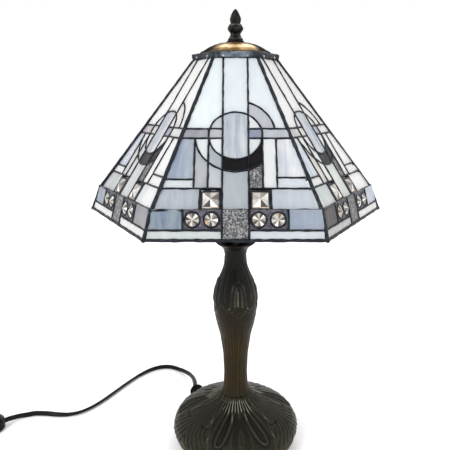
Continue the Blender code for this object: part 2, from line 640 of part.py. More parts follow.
def build_switch():
    middle = empty("switch_place", SWITCH_MIDDLE, SWITCH_TURN)
    outline = capsule(SWITCH_LENGTH, SWITCH_WIDTH)
    hollow = capsule(SWITCH_LENGTH - 2 * SWITCH_WALL - 0.004, SWITCH_WIDTH - 2 * SWITCH_WALL)
    parting = SWITCH_PARTING
    along = Matrix.Translation((0, 0, parting)) @ Matrix.Rotation(pi / 2, 4, "Y")
    lead = placed(ring_cutter(CORD_HALF + GAP, -SWITCH_LENGTH, SWITCH_LENGTH), along)
    low = prism(outline, 0, parting - GAP / 2 - SWITCH_LIFT, 0.12, 0.0030)
    upside_down = Matrix.Translation((0, 0, parting - GAP / 2)) @ Matrix.Rotation(pi, 4, "X")
    lower = add("switch_bottom", placed(low, upside_down), "black_plastic", middle)
    combine(lower, prism(hollow, SWITCH_LIFT + SWITCH_FLOOR, parting + SWITCH_FLOOR))
    combine(lower, lead.copy())
    high = prism(outline, parting + GAP / 2, SWITCH_TOP, 0.14, 0.0035)
    upper = add("switch_top", high, "black_plastic", middle)
    combine(upper, prism(hollow, parting - SWITCH_FLOOR, SWITCH_TOP - SWITCH_FLOOR))
    combine(upper, lead)
    half_long, half_wide = ROCKER_LENGTH / 2 + 0.0006, ROCKER_WIDTH / 2 + 0.0005
    window_bottom, window_top = SWITCH_TOP - 2 * SWITCH_FLOOR, SWITCH_TOP + 2 * SWITCH_FLOOR
    window = box((-half_long, -half_wide, window_bottom), (half_long, half_wide, window_top))
    combine(upper, window)
    reach = ROCKER_PIN_LENGTH / 2
    pin = turned([(0, -reach), (ROCKER_PIN_RADIUS, -reach), (ROCKER_PIN_RADIUS, reach), (0, reach)], 12)
    pin = placed(pin, Matrix.Rotation(pi / 2, 4, "X"))
    add("rocker_pin", pin, "steel", middle, at=(0, 0, ROCKER_PIVOT))
    half = ROCKER_LENGTH / 2 - 0.0010
    side = [
        (-half, 0.0012), (-0.0035, -0.0022), (0.0035, -0.0022), (half, 0.0012), (half, 0.0070),
        (half * 0.5, 0.0058), (0, 0.0054), (-half * 0.5, 0.0058), (-half, 0.0070),
    ]
    rocker = prism(side, -ROCKER_WIDTH / 2, ROCKER_WIDTH / 2)
    rocker = placed(rocker, Matrix.Rotation(ROCKER_TILT, 4, "Y") @ Matrix.Rotation(pi / 2, 4, "X"))
    rocker = add("switch_rocker", rocker, "black_plastic", middle, at=(0, 0, ROCKER_PIVOT), smooth=False)
    bore = ring_cutter(ROCKER_PIN_RADIUS + GAP, -ROCKER_PIN_LENGTH, ROCKER_PIN_LENGTH)
    bore = placed(bore, Matrix.Rotation(pi / 2, 4, "X"))
    combine(rocker, placed(bore, Matrix.Translation((0, 0, ROCKER_PIVOT))))
    screw = [(0, 0.0024), (0.0024, 0.0024), (0.0024, 0.0040), (0.0012, 0.0040), (0.0012, 0.0142), (0, 0.0142)]
    for number, side in enumerate((-1, 1), 1):
        corner = (side * SCREW_ALONG, -side * SCREW_ACROSS, 0)
        add(f"switch_screw_{number}", turned(screw, 12), "steel", middle, at=corner)
        strip = box((-0.0075, -0.0020, 0.0030), (0.0075, 0.0020, 0.0038))
        at = (side * CONTACT_ALONG, 0, 0)
        add(f"switch_contact_{number}", strip, "brass", middle, at=at, smooth=False)


def build_plug():
    place = empty("plug_place", PLUG_START, pi / 2)
    sleeve = [
        (0, 0), (0.0038, 0), (0.0042, 0.0035), (0.0036, 0.0045), (0.0046, 0.0055), (0.0048, 0.0090),
        (0.0041, 0.0100), (0.0052, 0.0110), (0.0055, 0.0150), (0.0047, 0.0160), (0.0060, 0.0172),
        (0.0063, SLEEVE_LENGTH), (0, SLEEVE_LENGTH),
    ]
    add("plug_sleeve", placed(turned(sleeve, 16), Matrix.Rotation(pi / 2, 4, "Y")), "black_rubber", place)
    start, end, half = SLEEVE_LENGTH + GAP, SLEEVE_LENGTH + PLUG_LENGTH, PLUG_WIDTH / 2
    outline = [
        (start, -0.0075), (start + 0.0060, -0.0120), (start + 0.0200, -half + 0.0015), (end - 0.0020, -half),
        (end, -half + 0.0015), (end, half - 0.0015), (end - 0.0020, half), (start + 0.0200, half - 0.0015),
        (start + 0.0060, 0.0120), (start, 0.0075),
    ]
    half_thick = PLUG_THICKNESS / 2
    body = add("plug_body", prism(outline, -half_thick, half_thick), "black_plastic", place)
    bevel = body.modifiers.new("rounded edges", "BEVEL")
    bevel.width = 0.0022
    bevel.segments = 2
    bevel.limit_method = "ANGLE"
    bevel.angle_limit = radians(50)
    shoulder = PIN_LENGTH - 0.0015
    pin = [(0, 0), (PIN_RADIUS, 0), (PIN_RADIUS, shoulder), (PIN_RADIUS / 2, PIN_LENGTH), (0, PIN_LENGTH)]
    for number, side in enumerate((-1, 1), 1):
        shape = placed(turned(pin, 12), Matrix.Rotation(pi / 2, 4, "Y"))
        add(f"plug_pin_{number}", shape, "steel", place, at=(end + GAP, side * PIN_SPACING / 2, 0))


for old in list(bpy.data.objects):
    bpy.data.objects.remove(old)
build_foot()
build_stem()
build_holder()
build_bulb()
build_harp()
build_shade()
build_finial()
build_cord()
build_switch()
build_plug()
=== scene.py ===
# The looks of a leaded glass table lamp: an opal glass shade of six panels, an antique bronze stand, and a
# twin flex with a switch and a plug. Metres, row frame. Each section builds one part around the CAD frame.

from math import asin, atan2, ceil, cos, hypot, pi, radians, sin, sqrt

import bmesh
import bpy
import numpy as np
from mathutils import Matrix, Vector


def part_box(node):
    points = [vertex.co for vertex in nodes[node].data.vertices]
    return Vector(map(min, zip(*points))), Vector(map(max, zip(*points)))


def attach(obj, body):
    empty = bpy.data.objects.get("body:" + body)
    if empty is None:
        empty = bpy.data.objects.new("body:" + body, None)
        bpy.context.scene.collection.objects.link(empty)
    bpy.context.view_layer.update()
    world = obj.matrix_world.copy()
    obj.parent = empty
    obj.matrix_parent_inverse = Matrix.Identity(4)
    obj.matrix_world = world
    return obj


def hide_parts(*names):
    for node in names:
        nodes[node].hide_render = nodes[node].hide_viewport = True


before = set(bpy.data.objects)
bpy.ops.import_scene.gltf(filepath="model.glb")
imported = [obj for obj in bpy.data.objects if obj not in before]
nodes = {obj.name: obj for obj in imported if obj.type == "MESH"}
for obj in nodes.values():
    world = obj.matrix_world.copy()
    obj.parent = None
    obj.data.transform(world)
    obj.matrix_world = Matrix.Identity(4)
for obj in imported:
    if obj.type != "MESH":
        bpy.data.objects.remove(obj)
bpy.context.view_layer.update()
CM = 0.01


# ---------------- camera, light and floor

CAMERA_PLACE = (0, -0.555, 0.401)
CAMERA_PITCH = radians(13.67)
CAMERA_LENS = 41.8  # mm, on a 36 mm sensor
CAMERA_SHIFT = -0.0233  # the lamp stands right of the picture's middle
FLOOR_TOP = -0.0002
FLOOR_RADIUS = 9


def build_camera():
    data = bpy.data.cameras.new("camera")
    data.lens, data.sensor_width, data.shift_x = CAMERA_LENS, 36, CAMERA_SHIFT
    camera = bpy.data.objects.new("camera", data)
    camera.location = CAMERA_PLACE
    camera.rotation_euler = (pi / 2 - CAMERA_PITCH, 0, 0)
    bpy.context.scene.collection.objects.link(camera)
    bpy.context.scene.camera = camera


def area_light(name, place, aim, size, power, colour=(1, 1, 1)):
    data = bpy.data.lights.new(name, "AREA")
    data.size, data.energy, data.color = size, power, colour
    light = bpy.data.objects.new(name, data)
    light.location = place
    light.rotation_euler = (Vector(aim) - Vector(place)).to_track_quat("-Z", "Y").to_euler()
    bpy.context.scene.collection.objects.link(light)


def build_stage():
    world = bpy.data.worlds.new("studio")
    bpy.context.scene.world = world
    world.use_nodes = True
    sky = world.node_tree.nodes["Background"]
    sky.inputs["Color"].default_value = (1, 1, 1, 1)
    sky.inputs["Strength"].default_value = 1.0
    area_light("key", (-0.9, -1.3, 1.5), (0, 0, 0.25), 0.9, 16)
    area_light("fill", (1.4, -0.9, 0.9), (0, 0, 0.25), 1.0, 6, (1.0, 0.96, 0.92))
    area_light("back", (0.2, 1.6, 1.4), (0, 0, 0.3), 1.2, 12)
    bm = bmesh.new()
    bmesh.ops.create_circle(bm, cap_ends=True, radius=FLOOR_RADIUS, segments=64)
    mesh = bpy.data.meshes.new("floor")
    bm.to_mesh(mesh)
    floor = bpy.data.objects.new("floor", mesh)
    floor.location.z = FLOOR_TOP
    bpy.context.scene.collection.objects.link(floor)
    sockets = {"Base Color": hex_colour("ffffff"), "Roughness": 0.95, "Specular IOR Level": 0}
    paint = Finish("floor_paint", sockets)
    paint.wear("Roughness", paint.noise(3), 0.85, 0.95)
    mesh.materials.append(paint.made)
    bpy.context.scene.view_settings.view_transform = "Standard"


# ---------------- ways to write a material


def hex_colour(text):
    """The linear colour of an sRGB hex code."""
    parts = [int(text[i : i + 2], 16) / 255 for i in (0, 2, 4)]
    return (*[c / 12.92 if c <= 0.04045 else ((c + 0.055) / 1.055) ** 2.4 for c in parts], 1)


class Finish:
    """A Principled material, with short ways to feed its sockets from patterns."""

    def __init__(self, name, sockets):
        self.made = bpy.data.materials.new(name)
        self.made.use_nodes = True
        self.tree = self.made.node_tree
        self.skin = self.tree.nodes["Principled BSDF"]
        for socket, value in sockets.items():
            self.skin.inputs[socket].default_value = value

    def node(self, kind, sockets=(), **settings):
        made = self.tree.nodes.new("ShaderNode" + kind)
        for setting, value in settings.items():
            setattr(made, setting, value)
        for socket, value in dict(sockets).items():
            if isinstance(value, bpy.types.NodeSocket):
                self.tree.links.new(value, made.inputs[socket])
            else:
                made.inputs[socket].default_value = value
        return made

    def feed(self, socket, value):
        self.tree.links.new(value, self.skin.inputs[socket])

    def place(self, stretch=(1, 1, 1), attribute=None):
        """Coordinates in metres, from the object or from a stored attribute, stretched along each axis."""
        if attribute:
            start = self.node("Attribute", attribute_name=attribute).outputs["Vector"]
        else:
            start = self.node("TexCoord").outputs["Object"]
        return self.node("Mapping", {"Vector": start, "Scale": stretch}).outputs["Vector"]

    def noise(self, scale, detail=4, rough=0.55, stretch=(1, 1, 1), attribute=None, twist=0.0):
        sockets = {"Vector": self.place(stretch, attribute), "Scale": scale, "Detail": detail}
        made = self.node("TexNoise", sockets)
        made.inputs["Roughness"].default_value = rough
        made.inputs["Distortion"].default_value = twist
        return made.outputs["Fac"]

    def cells(self, scale, stretch=(1, 1, 1), attribute=None):
        made = self.node("TexVoronoi", {"Vector": self.place(stretch, attribute), "Scale": scale})
        return made.outputs["Distance"]

    def stored(self, name, output="Fac"):
        return self.node("Attribute", attribute_name=name).outputs[output]

    def spread(self, value, low, high, out_low=0.0, out_high=1.0):
        sockets = {"Value": value, "From Min": low, "From Max": high, "To Min": out_low, "To Max": out_high}
        return self.node("MapRange", sockets).outputs["Result"]

    def sum(self, first, second, kind="ADD"):
        made = self.node("Math", operation=kind)
        for socket, value in zip(made.inputs, (first, second)):
            if isinstance(value, bpy.types.NodeSocket):
                self.tree.links.new(value, socket)
            else:
                socket.default_value = value
        return made.outputs["Value"]

    def ramp(self, value, stops):
        """Colours along a value: stops is (place, hex) pairs."""
        made = self.node("ValToRGB", {"Fac": value})
        ramp = made.color_ramp
        while len(ramp.elements) < len(stops):
            ramp.elements.new(0.5)
        for element, (at, colour) in zip(ramp.elements, stops):
            element.position, element.color = at, hex_colour(colour)
        return made.outputs["Color"]

    def blend(self, share, first, second, kind="MIX"):
        made = self.node("Mix", data_type="RGBA", blend_type=kind)
        for socket, value in zip((made.inputs[0], made.inputs[6], made.inputs[7]), (share, first, second)):
            if isinstance(value, bpy.types.NodeSocket):
                self.tree.links.new(value, socket)
            else:
                socket.default_value = hex_colour(value) if isinstance(value, str) else value
        return made.outputs[2]

    def stray(self, scale, detail, size):
        """A noise that strays to both sides of zero."""
        return self.sum(self.sum(self.noise(scale, detail), -0.5), size, "MULTIPLY")

    def darker(self, colour, share):
        """The colour times a share."""
        grey = self.node("CombineColor", {"Red": share, "Green": share, "Blue": share}).outputs[0]
        return self.blend(1.0, colour, grey, "MULTIPLY")

    def wear(self, socket, value, low, high):
        """Feeds a socket between low and high, following a pattern."""
        self.feed(socket, self.spread(value, 0.3, 0.7, low, high))

    def bumps(self, value, strength, depth=0.001):
        made = self.node("Bump", {"Height": value, "Strength": strength, "Distance": depth})
        if self.skin.inputs["Normal"].is_linked:
            self.tree.links.new(self.skin.inputs["Normal"].links[0].from_socket, made.inputs["Normal"])
        self.feed("Normal", made.outputs["Normal"])


def coat(name, sockets, colour, rough, bump=None, attribute=None):
    """A finish of noises: a scale and a detail each, then colour stops, low and high, strength and depth."""
    finish = Finish(name, sockets)
    noise = lambda scale, detail: finish.noise(scale, detail, attribute=attribute)
    finish.feed("Base Color", finish.ramp(noise(*colour[:2]), colour[2]))
    finish.wear("Roughness", noise(*rough[:2]), *rough[2:])
    if bump:
        finish.bumps(noise(*bump[:2]), *bump[2:])
    return finish.made


def plain(name, sockets, dark, light, scale, rough, bump=0.2):
    """A coat that varies between two colours and two roughnesses over a fine bump."""
    return coat(name, sockets, (scale, 4, [(0.3, dark), (0.7, light)]), (scale * 2, 3, *rough),
                (scale * 4, 3, bump, 0.0003))


# ---------------- ways to write a mesh


class Form:
    """Points, faces and stored values gathered for one mesh."""

    def __init__(self):
        self.points, self.faces, self.finishes, self.values = [], [], [], {}
        self.count = 0

    def add(self, points, faces, finish=0, **values):
        points = np.asarray(points, float).reshape(-1, 3)
        self.points.append(points)
        self.faces += [[i + self.count for i in face] for face in faces]
        self.finishes += [finish] * len(faces)
        for name, value in values.items():
            value = np.asarray(value, float)
            if value.ndim == 0 or (value.ndim == 1 and len(value) != len(points)):
                value = np.broadcast_to(value, (len(points), *value.shape))
            self.values.setdefault(name, []).append(value)
        self.count += len(points)

    def build(self, name, body, materials, slot, replaces=(), sharp=40):
        mesh = bpy.data.meshes.new(name)
        mesh.from_pydata(np.concatenate(self.points).tolist(), [], self.faces)
        for material in materials:
            mesh.materials.append(material)
        mesh.polygons.foreach_set("material_index", self.finishes)
        for key, parts in self.values.items():
            value = np.concatenate(parts).astype(np.float32)
            if value.ndim == 1:
                mesh.attributes.new(key, "FLOAT", "POINT").data.foreach_set("value", value)
            elif value.shape[1] == 4:
                mesh.attributes.new(key, "FLOAT_COLOR", "POINT").data.foreach_set("color", value.ravel())
            else:
                mesh.attributes.new(key, "FLOAT_VECTOR", "POINT").data.foreach_set("vector", value.ravel())
        mesh.validate()
        mesh.shade_smooth()
        mesh.set_sharp_from_angle(angle=radians(sharp))
        made = bpy.data.objects.new(name, mesh)
        bpy.context.scene.collection.objects.link(made)
        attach(made, body)
        if replaces:
            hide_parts(*replaces)
        return made


def grid_faces(rows, columns, around=False):
    """Quads between rows of points, each row columns long; around joins each row's end to its start."""
    faces = []
    for i in range(rows - 1):
        for j in range(columns if around else columns - 1):
            k = (j + 1) % columns
            faces.append([i * columns + j, i * columns + k, (i + 1) * columns + k, (i + 1) * columns + j])
    return faces


def tube_faces(rows, columns):
    """A closed tube of rings with flat ends."""
    last = (rows - 1) * columns
    ends = [list(range(columns))[::-1], [last + j for j in range(columns)]]
    return grid_faces(rows, columns, around=True) + ends


def ring_faces(rows, columns):
    """A closed ring of sections: the last row of points joins the first."""
    last = (rows - 1) * columns
    joined = [[last + j, last + (j + 1) % columns, (j + 1) % columns, j] for j in range(columns)]
    return grid_faces(rows, columns, around=True) + joined


def full_turn(count):
    """Angles that share out one whole turn."""
    return np.linspace(0, 2 * pi, count, endpoint=False)


def run_along(points):
    """How far along the line each point is."""
    return np.concatenate([[0], np.cumsum(np.linalg.norm(np.diff(points, axis=0), axis=1))])


def smooth_route(points, step):
    """Points a step apart on a smooth curve through the given ones."""
    given = [np.array(p, float) for p in points]
    given = [2 * given[0] - given[1]] + given + [2 * given[-1] - given[-2]]
    fine = []
    for a, b, c, d in zip(given, given[1:], given[2:], given[3:]):
        bend, twist = 2 * a - 5 * b + 4 * c - d, 3 * b - a - 3 * c + d
        for t in np.linspace(0, 1, 24, endpoint=False):
            fine.append(0.5 * (2 * b + (c - a) * t + bend * t**2 + twist * t**3))
    fine = np.array(fine + [given[-2]])
    run = run_along(fine)
    at = np.linspace(0, run[-1], max(2, int(round(run[-1] / step)) + 1))
    return np.stack([np.interp(at, run, fine[:, i]) for i in range(fine.shape[1])], axis=1)


def unit(vectors):
    return vectors / np.linalg.norm(vectors, axis=-1, keepdims=True)


def wobble(along, seed, size):
    """A slow, repeatable unevenness, as hand work leaves."""
    waves = [(211, 1.7), (367, 4.1), (613, 2.3)]
    return size * sum(np.sin(along * rate + seed * turn) for rate, turn in waves) / 1.8


def step_up(value, low, high):
    """0 below low, 1 above high, and a smooth rise between them."""
    share = np.clip((value - low) / (high - low), 0, 1)
    return share * share * (3 - 2 * share)


# ---------------- flex: route, coil, jacket

FLEX_WIDTH = 0.006  # a flat twin flex, two round cores side by side
FLEX_THICKNESS = 0.0034
FLEX_CLEAR = 0.0001  # between the flex and the floor
FLEX_REST = 0.0012  # how much lower a flat flex lies than the round tube in the frame
SPACING = 0.0025
LAMP_ROUTE = [
    (-0.0534, 0.0794, 0.019), (-0.0554, 0.09, 0.0188), (-0.0572, 0.103, 0.0168), (-0.0612, 0.1215, 0.0125),
    (-0.0695, 0.1415, 0.008), (-0.0859, 0.1605, 0.0042), (-0.1048, 0.168, 0.003), (-0.1247, 0.1606, 0.003),
    (-0.1434, 0.1412, 0.003), (-0.1562, 0.1208, 0.003), (-0.1679, 0.0992, 0.003), (-0.179, 0.0788, 0.003),
    (-0.1902, 0.0624, 0.003), (-0.202, 0.0514, 0.003), (-0.2157, 0.0462, 0.003), (-0.23, 0.0452, 0.003),
    (-0.2457, 0.0466, 0.003), (-0.261, 0.0466, 0.0033), (-0.2735, 0.0414, 0.0048),
    (-0.2835, 0.0325, 0.0072), (-0.2904, 0.0243, 0.0086),
]
SWITCH_DIP = [(-0.3045, 0.0127, 0.0066), (-0.314, 0.0048, 0.006), (-0.3236, -0.0031, 0.0066)]
PLUG_ROUTE = [
    (-0.3382, -0.0151, 0.0086), (-0.3465, -0.0215, 0.007), (-0.357, -0.0268, 0.0045),
    (-0.37, -0.0296, 0.0031), (-0.385, -0.0292, 0.003), (-0.399, -0.025, 0.003), (-0.412, -0.0165, 0.003),
    (-0.4215, -0.0045, 0.003),
]
TAIL_ROUTE = [
    (-0.4018, 0.07, 0.009), (-0.4004, 0.081, 0.006), (-0.4, 0.09, 0.0048), (-0.4, 0.098, 0.0056),
    (-0.4, 0.105, 0.007), (-0.4, 0.1116, 0.0074), (-0.4, 0.119, 0.0074),
]
COIL_MIDDLE = (-0.39, 0.025)
COIL_WIDE, COIL_NARROW = 0.0322, 0.0259  # the two radii that the turns take
COIL_LAYER = 0.0035
COIL_BOTTOM = 0.0018
COIL_START = radians(178)  # where the flex joins the coil
COIL_TURNS = 6.075  # clockwise, seen from above
COIL_STEPS = 64  # points to a turn
COIL_SHIFT = radians(50)  # each turn passes to the next one this much earlier
# The radius and the layer that each turn takes.
TURN_PLACES = np.array([(COIL_WIDE, 0), (COIL_NARROW, 0), (COIL_NARROW, 1), (COIL_WIDE, 1), (COIL_NARROW, 2),
                        (COIL_WIDE, 2), (COIL_NARROW, 3)])


def coil_route():
    """The coil's turns: out and in on each layer, each passing to the next one place along."""
    points = []
    for swept in np.linspace(0, COIL_TURNS * 2 * pi, int(COIL_TURNS * COIL_STEPS)):
        radius, layer = TURN_PLACES[0]
        for number, (before, after) in enumerate(zip(TURN_PLACES, TURN_PLACES[1:]), 1):
            over = swept - number * (2 * pi - COIL_SHIFT)
            if over > 0:
                radius, layer = before + (after - before) * step_up(over, 0, COIL_SHIFT)
        angle = COIL_START - swept
        points.append((COIL_MIDDLE[0] + radius * cos(angle), COIL_MIDDLE[1] + radius * sin(angle),
                       COIL_BOTTOM + layer * COIL_LAYER))
    return points


def flex_route():
    lay = [(x, y, z - FLEX_REST) for x, y, z in LAMP_ROUTE + SWITCH_DIP + PLUG_ROUTE]
    route = lay + coil_route()[3:] + TAIL_ROUTE
    return smooth_route(route, SPACING)


def flex_section(sides=14):
    """Two round cores side by side with a groove between, as (across, up) pairs."""
    core = FLEX_THICKNESS / 2
    middle = FLEX_WIDTH / 2 - core
    section = []
    for i in range(sides):
        angle = 2 * pi * (i + 0.5) / sides
        side = 1 if cos(angle) > 0 else -1
        section.append((side * middle + core * cos(angle), core * sin(angle)))
    groove = core * 0.5
    section.insert(int(sides * 0.75), (0, -groove))
    section.insert(int(sides * 0.25), (0, groove))
    return section


# How far the flex is rolled over, in degrees, by metres from the foot: it lies on its edge near the foot and
# before the switch.
FLEX_TWIST = [(0, 0), (0.05, 80), (0.125, 85), (0.17, 140), (0.265, 142), (0.315, 238), (0.37, 240),
              (0.405, 180)]


def build_flex():
    route = flex_route()
    roll = np.radians(np.interp(run_along(route), *zip(*FLEX_TWIST)))
    core = FLEX_THICKNESS / 2
    tall = (FLEX_WIDTH / 2 - core) * np.abs(np.sin(roll)) + core
    route[:, 2] = np.maximum(route[:, 2], tall + FLEX_CLEAR)
    ahead = unit(np.gradient(route, axis=0))
    flat = unit(np.cross(ahead, (0, 0, 1)))
    above = np.cross(flat, ahead)
    across = flat * np.cos(roll)[:, None] + above * np.sin(roll)[:, None]
    up = above * np.cos(roll)[:, None] - flat * np.sin(roll)[:, None]
    section = np.array(flex_section())
    rings = route[:, None] + across[:, None] * section[None, :, :1] + up[:, None] * section[None, :, 1:]
    form = Form()
    form.add(rings, tube_faces(len(route), len(section)))
    flex = form.build("flex", "lamp", [FLEX_JACKET], "cord_jacket",
                      ("cord_lamp_side", "cord_plug_side", "cord_tail", "cord_coil"))
    return flex, route


FLEX_JACKET = coat("flex_jacket", {"Specular IOR Level": 0.15}, (60, 3, [(0.3, "080605"), (0.7, "130e0b")]),
                   (240, 3, 0.32, 0.5), (900, 3, 0.12, 0.0004))


def even(outline, count, soften=3):
    """The outline at equal steps of its own length, softened."""
    run = run_along(outline)
    at = np.linspace(0, run[-1], count)
    made = np.stack([np.interp(at, run, outline[:, i]) for i in range(2)], axis=1)
    for _ in range(soften):
        made[1:-1] = (made[:-2] + 2 * made[1:-1] + made[2:]) / 4
    return made, at


GRIP_FOOT = (-0.0465, 0.0572, 0.019)
GRIP_TURN = radians(107.5)
GRIP_OUTLINE = [
    (0.008, -0.0004), (0.0086, 0.001), (0.0087, 0.004), (0.0074, 0.005), (0.0066, 0.0056), (0.0074, 0.0063),
    (0.008, 0.0074), (0.008, 0.0086), (0.0066, 0.0095), (0.0074, 0.0104), (0.0082, 0.0114),
    (0.0082, 0.0132), (0.0068, 0.0142), (0.0076, 0.0152), (0.0088, 0.0166), (0.009, 0.0184),
    (0.008, 0.0196), (0.0062, 0.02), (0.0052, 0.0212), (0.0042, 0.0226), (0.003, 0.0229),
]


def build_grip():
    """The ribbed rubber bush where the flex leaves the foot."""
    outline, _ = even(np.array(GRIP_OUTLINE), 90, 1)
    ahead = np.array((cos(GRIP_TURN), sin(GRIP_TURN), 0))
    side = np.array((-sin(GRIP_TURN), cos(GRIP_TURN), 0))
    up = np.array((0, 0, 1))
    turns = full_turn(48)
    flutes = 1 - 0.03 * (np.cos(12 * turns) > 0.75)
    radii = outline[:, 0, None] * flutes
    points = np.array(GRIP_FOOT) + outline[:, 1, None, None] * ahead
    points = points + radii[..., None] * (np.cos(turns)[:, None] * side + np.sin(turns)[:, None] * up)
    form = Form()
    form.add(points, tube_faces(len(outline), len(turns)))
    form.build("grip", "lamp", [RUBBER], "grip_rubber", ["cord_grip"], 50)


RUBBER = plain("black_rubber", {"Specular IOR Level": 0.06}, "030303", "090808", 180, (0.5, 0.75))

build_camera()
build_stage()
build_grip()
flex, flex_line = build_flex()


# ---------------- shade: the glass pattern

# One panel's pattern, in centimetres: t runs across from the panel's middle, s down its slope from the top.
UPPER_LENGTH, SKIRT_LENGTH = 15.65, 2.657
TOP_HALF, BREAK_HALF, BOTTOM_HALF = 2.14, 7.36, 7.75
RING_MIDDLE, RING_INNER, RING_OUTER = 8.37, 2.39, 3.6
STRIP = 1.15  # half the middle strip
BAR_TOP, BAR_BOTTOM = 7.71, 8.68
BAND_LEFT, BAND_RIGHT = 12.72, 12.55  # the top of each pale band
ROW = 13.58  # the row of square jewels
SQUARE = 3.05  # the outer side of a square jewel's frame
SKIRT_ROW = 1.79
FIELD = 4.45  # the outer end of the round jewels' field
GLASS_DEPTH = 0.3  # cm
GLASS_SINK = 0.06


def level(s):
    return lambda t: s


def ring_above(radius, middle=RING_MIDDLE):
    return lambda t: middle - sqrt(max(0, radius**2 - t**2))


def ring_below(radius, middle=RING_MIDDLE):
    return lambda t: middle + sqrt(max(0, radius**2 - t**2))


def hip(t):
    """Where the upper panel's side seam crosses t."""
    return max(0, (abs(t) - TOP_HALF) * UPPER_LENGTH / (BREAK_HALF - TOP_HALF))


def highest(*curves):
    return lambda t: max(curve(t) for curve in curves)


def lowest(*curves):
    return lambda t: min(curve(t) for curve in curves)


def half_width(s):
    return TOP_HALF + (BREAK_HALF - TOP_HALF) * s / UPPER_LENGTH


def skirt_half(s):
    return BREAK_HALF + (BOTTOM_HALF - BREAK_HALF) * s / SKIRT_LENGTH


# Each piece: first and last t, upper and lower edge, and the two colours of its opal glass or another glass.
OPAL, BLACK, GRANITE, FIELD_GLASS = range(4)
UPPER_GLASS = [
    (-STRIP, STRIP, level(0), ring_above(RING_INNER), ("e0e8ef", "ebeff2")),
    (-STRIP, STRIP, ring_above(RING_INNER), ring_below(RING_INNER), ("dbe0e3", "94a0b2")),
    (-STRIP, STRIP, ring_below(RING_INNER), ring_below(RING_OUTER), BLACK),
    (-STRIP, STRIP, ring_below(RING_OUTER), level(UPPER_LENGTH), ("b4bcc3", "bfc6ca")),
    (-BREAK_HALF, -STRIP, hip, lowest(ring_above(RING_INNER), level(BAR_TOP)), ("e4edf1", "eff4f6")),
    (-RING_INNER, -STRIP, ring_above(RING_INNER), level(BAR_TOP), ("d0d7dc", "dfe4e8")),
    (-BREAK_HALF, -RING_INNER, highest(hip, level(BAR_TOP)), level(BAR_BOTTOM), ("a29ea6", "bec3cf")),
    (-RING_INNER, -STRIP, level(BAR_TOP), level(BAR_BOTTOM), ("c3c6cb", "cfd2d6")),
    (-RING_INNER, -STRIP, level(BAR_BOTTOM), ring_below(RING_INNER), ("f2f5f6", "e4eaee")),
    (-RING_INNER, -STRIP, highest(ring_below(RING_INNER), level(BAR_BOTTOM)), ring_below(RING_OUTER),
     ("b6bec8", "c4cad2")),
    (-RING_OUTER, -RING_INNER, level(BAR_BOTTOM), ring_below(RING_OUTER), ("f3f6f7", "e9eef0")),
    (-RING_OUTER, -RING_INNER, highest(ring_below(RING_OUTER), level(BAR_BOTTOM)), level(ROW),
     ("b6b8bb", "c6cacf")),
    (-RING_INNER, -STRIP, ring_below(RING_OUTER), level(ROW), ("c1c6cf", "cfd2d8")),
    (-BREAK_HALF, -RING_OUTER, highest(hip, level(BAR_BOTTOM)), level(BAND_LEFT), ("a0aec2", "c6cdd6")),
    (-BREAK_HALF, -RING_OUTER, highest(hip, level(BAND_LEFT)), level(ROW), ("e0e6ea", "e6eaed")),
    (-BREAK_HALF, -SQUARE, highest(hip, level(ROW)), level(UPPER_LENGTH), ("acb6bf", "c5cad0")),
    (STRIP, BREAK_HALF, hip, lowest(ring_above(RING_OUTER), level(BAR_TOP)), ("e4edf1", "eff3f7")),
    (STRIP, RING_OUTER, ring_above(RING_OUTER), lowest(ring_above(RING_INNER), level(BAR_TOP)),
     ("c3c7cb", "d4d5de")),
    (STRIP, RING_INNER, ring_above(RING_INNER), level(BAR_TOP), ("f0f4f5", "e6ecef")),
    (STRIP, RING_INNER, level(BAR_TOP), level(BAR_BOTTOM), ("9699b2", "aeb3c4")),
    (RING_INNER, BREAK_HALF, highest(hip, level(BAR_TOP)), level(BAR_BOTTOM), ("c2c9d1", "d3dadd")),
    (STRIP, RING_INNER, level(BAR_BOTTOM), ring_below(RING_INNER), ("eef2f3", "e2e8ec")),
    (STRIP, RING_INNER, highest(ring_below(RING_INNER), level(BAR_BOTTOM)), ring_below(RING_OUTER),
     BLACK),
    (STRIP, RING_INNER, ring_below(RING_OUTER), level(ROW), GRANITE),
    (RING_INNER, RING_OUTER, level(BAR_BOTTOM), level(ROW), ("f4f6f7", "ebeff1")),
    (RING_OUTER, BREAK_HALF, highest(hip, level(BAR_BOTTOM)), level(BAND_RIGHT), ("f6f7f7", "cfd4dc")),
    (RING_OUTER, BREAK_HALF, highest(hip, level(BAND_RIGHT)), level(ROW), ("d7dde4", "e2e6eb")),
    (SQUARE, BREAK_HALF, highest(hip, level(ROW)), level(UPPER_LENGTH), ("c5ccd4", "d3d9df")),
]
SKIRT_GLASS = [
    (-STRIP, STRIP, 0, SKIRT_LENGTH, GRANITE),
    (-BOTTOM_HALF, -FIELD, 0, SKIRT_ROW, ("828eab", "b0bfbe")),
    (FIELD, BOTTOM_HALF, 0, SKIRT_ROW, ("a2aec1", "b6bfcc")),
    (-FIELD, -STRIP, 0, SKIRT_ROW, FIELD_GLASS),
    (STRIP, FIELD, 0, SKIRT_ROW, FIELD_GLASS),
    (-BOTTOM_HALF, -STRIP, SKIRT_ROW, SKIRT_LENGTH, ("d7e0e2", "e4e8e7")),
    (STRIP, BOTTOM_HALF, SKIRT_ROW, SKIRT_LENGTH, ("dde4ea", "e6eaee")),
]
SQUARE_JEWELS = [(-2.12, 14.68), (2.12, 14.68)]
ROUND_JEWELS = [(-3.62, 0.9), (-2.03, 0.9), (1.97, 0.9), (3.58, 0.9)]
SQUARE_SIZE, ROUND_SIZE = 0.76, 0.57  # half a square jewel's side, and a round jewel's radius
PIECE_GAP = 0.03
CROWN = 0.035  # how much higher a piece's middle is than its edge
SLIVER = 0.06  # a column of glass shorter than this is left out
